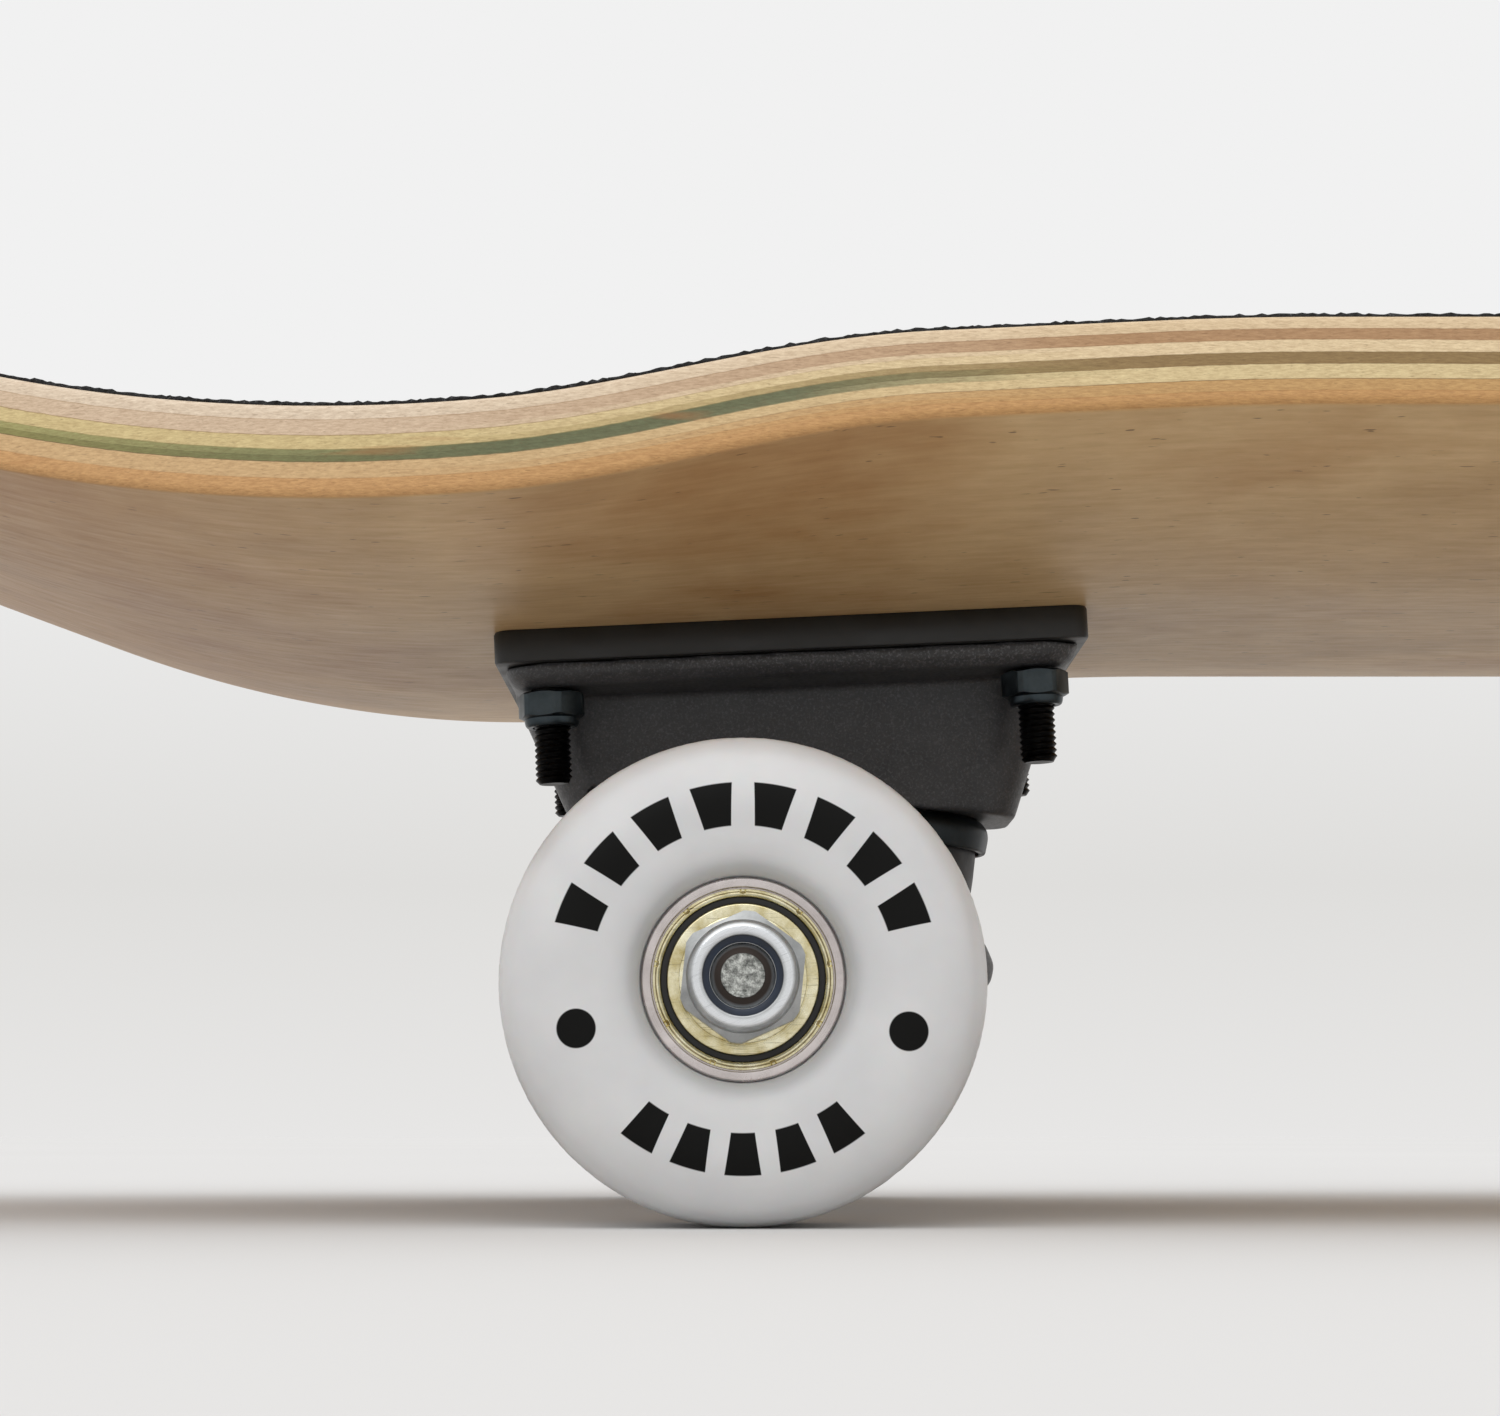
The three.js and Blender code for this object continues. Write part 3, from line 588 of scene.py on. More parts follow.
def maple_look():
    look = Look("maple", Roughness=0.42, Specular_IOR_Level=0.25, Coat_Weight=0.08, Coat_Roughness=0.3)
    height = look.node("Attribute", attribute_name="ply_height").outputs["Fac"]
    x, y, _ = look.axes()
    fibres = look.noise((1.1, 0.35, 0.2), 5, 0.7)
    grain = look.noise((9, 1.6, 40), 6, 0.7)
    plies = ply_edge(look, height, x, fibres)
    face = veneer_face(look, x, y, grain)
    look.set("Base Color", look.mix(look.span(height, 0.0, 0.12), face, plies))
    relief = look.plus(look.times(grain, 0.5), look.times(fibres, 0.5))
    look.bump(relief, 0.12, 0.35)
    look.set("Roughness", look.span(grain, 0.3, 0.7, 0.36, 0.52))
    return look.material


def grip_look():
    look = Look("grip", Roughness=0.92)
    grains = look.cells(0.5)
    tone = look.ramp(look.noise(0.45, 2, 0.7), [
        (0.35, (12, 12, 12)), (0.62, (38, 38, 39)), (0.7, (84, 84, 86))])
    dust = look.times(look.span(look.noise(90, 4), 0.45, 0.75), 0.2)
    look.set("Base Color", look.mix(dust, tone, (70, 68, 64)))
    look.bump(grains, 0.35, 0.9)
    return look.material


def plastic_look():
    look = Look("riser_plastic", Roughness=0.45)
    mottle = look.noise(6, 4)
    look.set("Base Color", look.mottled(mottle, (19, 19, 18), (28, 28, 26)))
    look.set("Roughness", look.span(mottle, 0.3, 0.7, 0.38, 0.55))
    look.bump(look.noise(0.35, 2), 0.03, 0.5)
    return look.material


def casting_look():
    """Dark cast skin with pale specks; denser specks on the flange paint a highlight along its lit face."""
    look = Look("cast_alloy", Metallic=0.0, Roughness=0.5, Coat_Weight=0.15, Coat_Roughness=0.35)
    sand = look.noise(0.55, 3, 0.6)
    mottle = look.noise(7, 4)
    base = look.mottled(mottle, (40, 40, 42), (52, 52, 54))
    _, _, height = look.axes()
    # Real pale specks, made denser on the flange as a painted highlight along its lit face.
    flange_highlight_specks = look.span(height, 42.6, 44.4, 0.3, 0.62)
    specks = look.times(look.span(look.noise(0.34, 2, 0.7), 0.5, 0.75), flange_highlight_specks)
    look.set("Base Color", look.mix(specks, base, (118, 118, 120)))
    look.set("Roughness", look.span(sand, 0.3, 0.7, 0.4, 0.62))
    lumps = look.times(look.noise(2.4, 2), 0.7)
    look.bump(look.plus(look.times(sand, 0.6), lumps), 0.16, 0.55)
    return look.material


def metal_look(name, dark, light, roughness, mottle_size=4, turning=0.0, scratch=0.0):
    """Plated metal: mottled plating, fine turning marks about Z, and straight scratches."""
    look = Look(name, Metallic=1.0, Roughness=roughness)
    mottle = look.noise(mottle_size, 4, 0.6)
    color = look.mottled(mottle, dark, light)
    look.set("Roughness", look.span(mottle, 0.3, 0.7, roughness * 0.8, roughness * 1.35))
    height = look.times(look.noise(0.5, 3), 0.4)
    if turning:
        grooves = look.math("SINE", look.times(look.radius(), 2 * math.pi / 0.22))
        height = look.plus(height, look.times(grooves, turning))
    if scratch:
        lines = look.span(look.noise((4.5, 0.12, 0.5), 2), 0.62, 0.7)
        deep = tuple(value * 0.5 for value in dark)
        color = look.mix(look.times(lines, scratch), color, deep)
        height = look.minus(height, look.times(lines, 0.5))
    look.set("Base Color", color)
    look.bump(height, 0.02, 0.5)
    return look.material


def nut_look():
    """Zinc nut: dull flats, and a painted highlight ring on the rolled collar, which is also smoother."""
    look = Look("bright_zinc", Metallic=1.0, Roughness=0.3)
    mottle = look.noise(2.5, 4, 0.6)
    flats = look.mottled(mottle, (146, 148, 148), (180, 182, 182))
    radius = look.radius()
    # Painted highlight: the rolled collar's ring is coloured near white.
    collar_highlight = look.times(look.span(radius, 5.5, 5.2), look.span(radius, 4.25, 4.7))
    brushed = look.noise((3, 0.15, 0.15), 2)
    color = look.mix(collar_highlight, flats, (232, 235, 238))
    look.set("Base Color", look.mix(look.span(brushed, 0.55, 0.75, 0.0, 0.25), color, (120, 124, 130)))
    look.set("Roughness", look.span(collar_highlight, 0, 1, 0.36, 0.16))
    look.bump(look.plus(look.times(brushed, 0.5), mottle), 0.03, 0.6)
    return look.material


def axle_look():
    """Bright shaft, with a dark chamfer round a dull and rough sawn face."""
    look = Look("axle_steel", Metallic=1.0, Roughness=0.3)
    _, _, z = look.axes()
    end = look.span(look.math("ABSOLUTE", z), AXLE_HALF - 0.75, AXLE_HALF - 0.6)
    face = look.times(end, look.span(look.radius(), 2.38, 2.3))
    pits = look.noise(0.75, 6, 0.8)
    dull = look.ramp(pits, [
        (0.36, (84, 86, 84)), (0.5, (158, 160, 156)), (0.62, (222, 224, 220))])
    shaft = look.mix(end, (150, 154, 158), (84, 76, 72))
    look.set("Base Color", look.mix(face, shaft, dull))
    look.set("Roughness", look.span(end, 0, 1, 0.3, 0.6))
    look.bump(look.times(pits, face), 0.25, 0.9)
    return look.material


def rubber_look(name, color, roughness):
    look = Look(name, Roughness=roughness)
    mottle = look.noise(3, 4)
    dark = [value * 0.8 for value in color]
    light = [value * 1.15 for value in color]
    look.set("Base Color", look.mottled(mottle, dark, light))
    look.set("Roughness", look.span(mottle, 0.3, 0.7, roughness * 0.85, roughness * 1.2))
    look.bump(look.noise(0.4, 3), 0.03, 0.5)
    return look.material


def wheel_look():
    """Cast urethane with a generic print: two dots, and bars along two arcs."""
    look = Look("urethane", Roughness=0.38, Subsurface_Weight=0.12, Subsurface_Scale=0.002,
                Coat_Weight=0.15, Coat_Roughness=0.3)
    x, y, z = look.axes()
    radius = look.radius()
    angle = look.times(look.math("ARCTAN2", y, x), 180 / math.pi)
    from_top = look.minus(angle, 90)
    bottom_turn = look.plus(angle, 90)

    def inside(value, low, high, soft=0.06):
        """1 between two values, with a narrow soft edge."""
        over = look.span(value, low - soft, low + soft)
        under = look.span(value, high - soft, high + soft, 1.0, 0.0)
        return look.times(over, under)

    def bars(turn, half_arc, count, low, high):
        """Tapered radial bars spread evenly over an arc about turn = 0."""
        pitch = 2 * half_arc / count
        place = look.math("DIVIDE", look.plus(turn, half_arc), pitch)
        off_centre = look.math("ABSOLUTE", look.minus(look.math("FRACT", place), 0.5))
        share = look.span(radius, low, high, 0.27, 0.33)
        bar = look.span(look.minus(share, off_centre), -0.006, 0.006)
        arc = inside(turn, -half_arc, half_arc, 0.2)
        return look.times(look.times(bar, arc), inside(radius, low, high))

    def dot(degrees_from_x, distance, size):
        centre_x = distance * math.cos(math.radians(degrees_from_x))
        centre_y = distance * math.sin(math.radians(degrees_from_x))
        away = look.length(look.minus(x, centre_x), look.minus(y, centre_y))
        return look.span(away, size - 0.06, size + 0.06, 1.0, 0.0)

    marks = [
        bars(from_top, 77, 8, 16.2, 20.9),
        bars(bottom_turn, 41, 5, 16.4, 20.9),
        dot(197, 18.5, 2.1),
        dot(-18, 18.5, 2.1),
    ]
    print_mask = marks[0]
    for mark in marks[1:]:
        print_mask = look.math("MAXIMUM", print_mask, mark)
    print_mask = look.times(print_mask, look.span(z, 10, 11))

    cloud = look.noise(9, 3)
    base = look.mottled(cloud, (206, 206, 207), (215, 215, 215))
    tread = look.span(radius, WHEEL_RADIUS - 0.8, WHEEL_RADIUS - 0.1)
    dirt = look.times(tread, look.span(look.noise(1.4, 5, 0.7), 0.4, 0.7, 0.05, 0.4))
    base = look.mix(dirt, base, (150, 142, 132))
    look.set("Base Color", look.mix(print_mask, base, (15, 15, 14)))
    look.set("Specular IOR Level", look.span(print_mask, 0, 1, 0.5, 0.1))
    look.set("Coat Weight", look.span(print_mask, 0, 1, 0.15, 0.0))
    look.set("Subsurface Weight", look.span(print_mask, 0, 1, 0.12, 0.0))
    look.set("Roughness", look.span(cloud, 0.3, 0.7, 0.33, 0.45))
    scuffs = look.times(look.noise(0.8, 4, 0.7), tread)
    look.bump(look.plus(scuffs, look.times(look.noise(3, 3), 0.12)), 0.12, 0.6)
    return look.material


def stage_look():
    look = Look("studio", Roughness=0.9)
    cloud = look.noise(900, 2)
    look.set("Base Color", look.mottled(cloud, (212, 211, 210), (215, 214, 213)))
    look.set("Specular IOR Level", 0.0)
    return look.material


maple = maple_look()
grip = grip_look()
riser_plastic = plastic_look()
cast_alloy = casting_look()
black_steel = metal_look("black_steel", (20, 20, 20), (34, 34, 34), 0.42)
dark_zinc = metal_look("dark_zinc", (48, 55, 59), (78, 87, 92), 0.36)
black_zinc = metal_look("black_zinc", (38, 42, 44), (58, 63, 66), 0.4)
bright_zinc = nut_look()
bearing_steel = metal_look("bearing_steel", (192, 184, 182), (222, 214, 212), 0.24, turning=0.15)
gold_zinc = metal_look("gold_zinc", (196, 180, 122), (255, 250, 220), 0.22, 2.6, turning=0.1, scratch=0.5)
axle_steel = axle_look()
bushing_rubber = rubber_look("bushing_rubber", (30, 30, 33), 0.5)
# Near-black rubber for the ring that paints shadow in each shield's groove.
groove_shadow_black = rubber_look("groove_shadow_black", (16, 15, 15), 0.45)
blue_nylon = rubber_look("blue_nylon", (6, 26, 48), 0.3)
urethane = wheel_look()


# ---------- deck and grip sheet
def smooth_step(value):
    t = np.clip(value, 0, 1)
    return t * t * (3 - 2 * t)


def centre_line(inboard):
    """Height of the deck's underside on the board's centre line."""
    past = np.clip(inboard - PATCH_CENTRE - PATCH_HALF, 0, CAMBER_BLEND)
    on_seat = np.minimum(inboard - PATCH_CENTRE, PATCH_HALF)
    seat = math.tan(PATCH_TILT) * (on_seat + past - past ** 2 / (2 * CAMBER_BLEND))
    beyond = np.maximum(KICK_START - inboard, 0)
    arc = np.minimum(beyond, KICK_RADIUS * math.sin(KICK_ANGLE))
    kick = KICK_RADIUS - np.sqrt(KICK_RADIUS ** 2 - arc ** 2) + (beyond - arc) * math.tan(KICK_ANGLE)
    return AXLE_HEIGHT + PATCH_HEIGHT + seat + kick


def underside(x, y):
    inboard = AXLE_X - np.abs(x)
    fade = smooth_step((inboard - CONCAVE_FADE[0]) / (CONCAVE_FADE[1] - CONCAVE_FADE[0]))
    rail = CONCAVE_KICK + (CONCAVE_MIDDLE - CONCAVE_KICK) * fade
    outward = np.maximum(np.abs(y) - FLAT_HALF_WIDTH, 0) / (DECK_WIDTH / 2 - FLAT_HALF_WIDTH)
    return centre_line(inboard) + rail * outward ** CONCAVE_POWER


def deck_slopes(x, y, step=0.5):
    slope_x = (underside(x + step, y) - underside(x - step, y)) / (2 * step)
    slope_y = (underside(x, y + step) - underside(x, y - step)) / (2 * step)
    return slope_x, slope_y


def deck_point(x, y, height):
    """Points at a height above the underside, square to it."""
    slope_x, slope_y = deck_slopes(x, y)
    length = np.sqrt(slope_x ** 2 + slope_y ** 2 + 1)
    return np.stack([
        x - slope_x / length * height,
        y - slope_y / length * height,
        underside(x, y) + height / length,
    ], -1)


def deck_rows(kick_rows, middle_step):
    """Places along the board at which it is sectioned, from the tail's tip to the nose's."""
    kick_end = KICK_START - 4
    shares = np.sin(np.linspace(math.pi / 2, 0, kick_rows))
    kick = kick_end - (TIP_REACH + kick_end) * shares
    middle_rows = int((AXLE_X - kick_end) / middle_step)
    middle = np.linspace(kick_end, AXLE_X, middle_rows)[1:]
    half = AXLE_X - np.concatenate([kick, middle])
    return np.concatenate([half, -half[-2::-1]])


def side_outline(rows, inset):
    """The deck's outline on its +Y side, moved in by an inset."""
    inboard = AXLE_X - np.abs(rows)
    along = np.clip((TAPER_START - inboard) / (TAPER_START + TIP_REACH), 0, 1)
    y = DECK_WIDTH / 2 * (1 - along ** OUTLINE_POWER) ** (1 / OUTLINE_POWER)
    run = np.stack([np.gradient(rows), np.gradient(y)], -1)
    run[1:-1] = np.stack([rows[2:] - rows[:-2], y[2:] - y[:-2]], -1)
    run /= np.linalg.norm(run, axis=1)[:, None]
    run[0], run[-1] = (0, 1), (0, -1)
    return rows - run[:, 1] * inset, np.maximum(y + run[:, 0] * inset, 0)


def deck_rings(rows, shares, edge_steps):
    """Cross-sections of a sheet that follows the deck.

    Edge steps are (inset, height) pairs from the bottom up.
    """
    def strip(step, order):
        inset, height = edge_steps[step]
        x, y = side_outline(rows, inset)
        return deck_point(x[:, None] + 0 * order[None, :], y[:, None] * order[None, :], height)

    inner = list(range(1, len(edge_steps) - 1))
    strips = [strip(0, shares)]
    strips += [strip(step, np.array([1.0])) for step in inner]
    strips += [strip(-1, shares[::-1])]
    strips += [strip(step, np.array([-1.0])) for step in reversed(inner)]
    return np.concatenate(strips, axis=1)


def bolt_frames():
    for truck in trucks.values():
        for x, y in bolt_places:
            yield truck @ plate_frame @ shift(x, y, 0)


def deck_mesh():
    lower = [(LOWER_EDGE_ROUND * (1 - math.sin(t)), LOWER_EDGE_ROUND * (1 - math.cos(t)))
             for t in np.linspace(0, math.pi / 2, 6)]
    upper_start = DECK_THICKNESS - UPPER_EDGE_ROUND
    upper = [(UPPER_EDGE_ROUND * (1 - math.cos(t)), upper_start + UPPER_EDGE_ROUND * math.sin(t))
             for t in np.linspace(0, math.pi / 2, 5)]
    wall = [(0, height) for height in np.linspace(LOWER_EDGE_ROUND, upper_start, 9)[1:-1]]
    shares = np.sin(np.linspace(-math.pi / 2, math.pi / 2, 49))
    mesh = skin(deck_rings(deck_rows(150, 1.6), shares, lower + wall + upper))
    hole = turned([
        (0, -2), (HOLE_RADIUS, -2), (HOLE_RADIUS, BOARD_TOP - BOLT_HEAD_HEIGHT - 0.3),
        (SINK_RADIUS, BOARD_TOP - 0.2), (SINK_RADIUS, BOARD_TOP + 2), (0, BOARD_TOP + 2),
    ], 40, closed=False)
    mesh = shaded(combined(mesh, [(hole, place) for place in bolt_frames()]), 50)
    points = np.empty(len(mesh.vertices) * 3)
    mesh.vertices.foreach_get("co", points)
    x, y, z = points.reshape(-1, 3).T / MM
    slope_x, slope_y = deck_slopes(x, y)
    height = (z - underside(x, y)) / np.sqrt(slope_x ** 2 + slope_y ** 2 + 1)
    attribute = mesh.attributes.new("ply_height", "FLOAT", "POINT")
    attribute.data.foreach_set("value", height.astype(np.float32))
    return mesh


def grip_mesh():
    """Gritty sheet: every point of its top and edge stands a little proud at random."""
    bottom = DECK_THICKNESS
    top = DECK_THICKNESS + GRIP_SHEET
    rows = deck_rows(420, 0.6)
    shares = np.linspace(-1, 1, 61)
    rings = deck_rings(rows, shares, [
        (UPPER_EDGE_ROUND, bottom),
        (UPPER_EDGE_ROUND - 0.1, (bottom + top) / 2),
        (UPPER_EDGE_ROUND, top),
    ])
    proud = rng.random(rings.shape[:2]) ** 2
    proud[:, :len(shares)] = 0
    rings[:, :, 2] += GRIT_HEIGHT * proud
    rings[:, len(shares)] += rng.normal(0, 0.07, (len(rows), 3))
    rings[:, -1] += rng.normal(0, 0.07, (len(rows), 3))
    hole = rod(SINK_RADIUS, bottom - 2, bottom + 4, 40)
    return shaded(combined(skin(rings), [(hole, place) for place in bolt_frames()]), 60)


def add_board():
    piece("deck_plies", deck_mesh(), maple, here, "board", "deck")
    piece("grip_sheet", grip_mesh(), grip, here, "board", "grip_tape")


# ---------- fastener shapes
SQUARE = [(-1, -1), (1, -1), (1, 1), (-1, 1)]  # corners' signs, counter-clockwise


def lock_nut(across_flats, hex_height, height, collar, bore):
    """Chamfered hexagon nut with a round collar rolled over its insert, from z = 0 up."""
    corner = across_flats / math.sqrt(3)
    blunted = 0.955 * corner
    blank = rod(corner, 0, hex_height, 6)
    chamfer = 0.12 * across_flats
    bevel = turned([
        (0, -0.01), (corner - chamfer, -0.01), (blunted, chamfer * 0.4),
        (blunted, hex_height - chamfer * 0.4), (corner - chamfer, hex_height + 0.01),
        (0, hex_height + 0.01),
    ], 96, closed=False)
    hexagon = combined(blank, [(bevel, here)], "INTERSECT")
    lip = 0.72 * collar
    collar_body = lathe([
        (0, hex_height / 2), (collar + 0.25, hex_height / 2), (collar, height, 0.24 * collar),
        (lip, height, 0.03 * collar), (lip, height - 0.7, 0.1), (0, height - 0.7),
    ], 5, closed=False)
    nut = combined(hexagon, [(collar_body, here)], "UNION")
    return shaded(combined(nut, [(rod(bore, -1, height + 1, 64), here)]), 30)


def insert_ring(height, collar, bore):
    """Nylon ring under a lock nut's rolled lip."""
    outside = collar * 0.75
    return lathe([
        (bore, height - 2.2), (outside, height - 2.2), (outside, height - 0.45, 0.1),
        (bore, height - 0.6, 0.3),
    ])


def deck_bolt():
    """Countersunk bolt with a cross recess, threaded below the plate."""
    start = BOLT_REACH - 10
    thread = threaded(BOLT_RADIUS, BOLT_PITCH, 0.3, -BOLT_REACH + 0.5, -start)
    tip = around([(0, -BOLT_REACH), (BOLT_RADIUS - 0.5, -BOLT_REACH)], 40)
    upper = around(filleted([
        (BOLT_RADIUS - 0.1, -start + 0.2), (BOLT_RADIUS - 0.1, BOARD_TOP - BOLT_HEAD_HEIGHT),
        (BOLT_HEAD_RADIUS, BOARD_TOP - 0.25, 0.1), (BOLT_HEAD_RADIUS - 0.2, BOARD_TOP - 0.05, 0.1),
        (0, BOARD_TOP),
    ], 3, closed=False), 40)
    body = skin(np.concatenate([tip, thread, upper]))
    slots = []
    for turn in (0, 1):
        arm = skin([
            [(side_x * 1.4, side_y * 0.35, BOARD_TOP - 1.7) for side_x, side_y in SQUARE],
            [(side_x * 2.5, side_y * 0.6, BOARD_TOP + 1) for side_x, side_y in SQUARE],
        ])
        slots.append((arm, Matrix.Rotation(turn * math.pi / 2 + 0.4, 4, "Z")))
    return shaded(combined(body, slots), 35)


# ---------- mounting: risers, bolts, nuts
def riser_mesh():
    soft = 0.35
    levels_and_insets = [
        (RISER_BOTTOM, soft), (RISER_BOTTOM + 0.1, 0.1), (RISER_BOTTOM + soft, 0), (-soft, 0),
        (0, 0.2),
    ]
    sections = [
        rounded_rectangle(RISER_LENGTH - 2 * inset, RISER_WIDTH - 2 * inset, RISER_CORNER - inset, 0, level)
        for level, inset in levels_and_insets
    ]
    holes = [(rod(HOLE_RADIUS, -20, 5), shift(x, y, 0)) for x, y in bolt_places]
    return shaded(combined(skin(sections), holes), 35)


def baseplate_mesh():
    """Casting: drafted flange, body block, kingpin seat and pivot boss."""
    flange = skin([
        rounded_rectangle(69, 47, 6, 0, FLANGE_BOTTOM + 0.3),
        rounded_rectangle(71.6, 49.8, 6, 0, FLANGE_BOTTOM + 0.4),
        rounded_rectangle(74.2, 52.2, 6, 0, FLANGE_BOTTOM + 1.5),
        rounded_rectangle(75.6, 53, 6, 0, FLANGE_TOP),
    ])
    block = skin([
        rounded_rectangle(56.6, 22.3, 5.5, -0.1, -27.7),
        rounded_rectangle(57.8, 23.6, 6, -0.1, -27.1),
        rounded_rectangle(73, 28, 8, -0.5, FLANGE_BOTTOM + 0.2),
        rounded_rectangle(74, 30.5, 9, -0.5, FLANGE_BOTTOM + 1),
    ])
    below_seat = rod(SEAT_RADIUS, -60, SEAT_LEVEL)
    boss = turned([
        (0, CUP_MOUTH), (BOSS_RADIUS - 0.8, CUP_MOUTH), (BOSS_RADIUS, CUP_MOUTH + 1),
        (BOSS_RADIUS, CUP_END), (BOSS_RADIUS - 2.4, BOSS_END), (0, BOSS_END),
    ], closed=False)
    seated = combined(joined([(block, plate_frame)]), [(below_seat, kingpin_frame)])
    body = cast([(seated, here), (boss, steering_frame), (flange, plate_frame)], 0.45, 5)
    above = prism([(60 * side_x, 40 * side_y) for side_x, side_y in SQUARE], FLANGE_TOP, 40)
    nose_room = lathe([
        (0, -20), (BOSS_RADIUS + 0.6, -20), (BOSS_RADIUS + 0.6, CUP_MOUTH, 2), (0, CUP_MOUTH),
    ], closed=False)
    tools = [
        (above, plate_frame), (nose_room, steering_frame),
        (rod(CUP_RADIUS, CUP_MOUTH - 5, CUP_END), steering_frame),
        (rod(KINGPIN_RADIUS + 0.2, -5, 30), kingpin_frame),
        (rod(HEAD_POCKET_RADIUS, KINGPIN_HEAD_START - 0.3, 40), kingpin_frame),
    ]
    tools += [(rod(HOLE_RADIUS, -20, 5), plate_frame @ shift(x, y, 0)) for x, y in bolt_places]
    return shaded(combined(body, tools), 40)


def add_mounting(truck, place):
    on_plate = place @ plate_frame
    piece(f"{truck}_riser_fine", shapes["riser"], riser_plastic, on_plate, "board",
          f"{truck}_riser_pad")
    piece(f"{truck}_baseplate_casting", shapes["baseplate"], cast_alloy, place, "board",
          f"{truck}_baseplate")
    for count, (x, y) in enumerate(bolt_places, 1):
        at_bolt = on_plate @ shift(x, y, 0) @ Matrix.Rotation(0.7 * count, 4, "Z")
        below_flange = on_plate @ shift(x, y, FLANGE_BOTTOM) @ upside_down
        at_nut = below_flange @ Matrix.Rotation(DECK_NUT_TURNS[count - 1], 4, "Z")
        stand_in(f"{truck}_deck_bolt_{count}", "deck_bolt", black_steel, at_bolt, "board")
        stand_in(f"{truck}_deck_nut_{count}", "deck_nut", dark_zinc, at_nut, "board")


# ---------- kingpin group
def kingpin_mesh():
    low = KINGPIN_END
    thread = threaded(KINGPIN_RADIUS, KINGPIN_PITCH, 0.55, low + 0.6, low + 11, 56)
    end = around([(0, low), (KINGPIN_RADIUS - 0.9, low), (KINGPIN_RADIUS - 0.6, low + 0.2)], 56)
    head = KINGPIN_HEAD_START
    upper = around(filleted([
        (KINGPIN_RADIUS, low + 11.3), (KINGPIN_RADIUS, head), (7, head, 0.3), (8, head + 1, 0.5),
        (8, head + 5, 0.8), (0, head + 6),
    ], 3, closed=False), 56)
    return shaded(skin(np.concatenate([end, thread, upper])))


def cup_washer_mesh():
    top = SEAT_LEVEL
    return lathe([
        (KINGPIN_RADIUS + 0.3, top - CUSHION_WASHER), (12.6, top - CUSHION_WASHER, 0.8),
        (13.0, top - 4.6, 0.2), (13.8, top - 4.6, 0.4), (14.2, top - CUSHION_WASHER, 1.4),
        (12.8, top, 1), (KINGPIN_RADIUS + 0.3, top),
    ], 6, 96)


def roadside_washer_mesh():
    top, low = LOWER_WASHER_LEVEL, LOWER_WASHER_LEVEL - 1.7
    return lathe([
        (KINGPIN_RADIUS + 0.1, low), (9.2, low, 0.3), (9.2, top, 0.5), (KINGPIN_RADIUS + 0.1, top),
    ])


def pivot_cup_mesh():
    return lathe([
        (0, CUP_FLOOR), (5.2, CUP_FLOOR, 1), (5.2, CUP_MOUTH, 0.4),
        (CUP_RADIUS, CUP_MOUTH - 0.2, 0.5), (CUP_RADIUS, CUP_END, 0.8), (0, CUP_END),
    ], closed=False)


def bushing_mesh(radii_and_levels):
    """Barrel of cushion rubber between its lowest and highest levels, bored for the kingpin."""
    bore = KINGPIN_RADIUS + 0.3
    low, high = radii_and_levels[0][1], radii_and_levels[-1][1]
    outside = [(radius, level, 1.1) for radius, level in radii_and_levels]
    body = filleted([(bore, low), *outside, (bore, high)], 5)
    inner = [(bore, level) for level in np.linspace(high, low, 9)[1:-1]]
    return turned(body + inner, 96)


def add_kingpin_group(truck, place):
    at = place @ kingpin_frame
    at_nut = at @ shift(0, 0, KINGPIN_NUT_LEVEL) @ upside_down
    at_pivot = place @ steering_frame
    stand_in(f"{truck}_kingpin", "kingpin", black_steel, at, "board")
    stand_in(f"{truck}_kingpin_nut", "kingpin_nut", dark_zinc, at_nut, "board")
    piece(f"{truck}_kingpin_nut_insert", shapes["kingpin_insert"], blue_nylon, at_nut, "board")
    stand_in(f"{truck}_cup_washer", "cup_washer", black_zinc, at, "board")
    stand_in(f"{truck}_roadside_washer", "roadside_washer", dark_zinc, at, "board")
    stand_in(f"{truck}_pivot_cup", "pivot_cup", riser_plastic, at_pivot, "board")
    add_bushing(truck, at, "boardside")
    add_bushing(truck, at, "roadside")


def add_bushing(truck, at, side):
    """A bushing between the board and the steering hanger: its fine shape, baked in place, stands for its
    CAD node.
    """
    name = f"{truck}_{side}_bushing"
    obj = visible(f"{name}_fine", shapes[f"{side}_bushing"], bushing_rubber, at)
    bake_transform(obj)
    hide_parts(name)


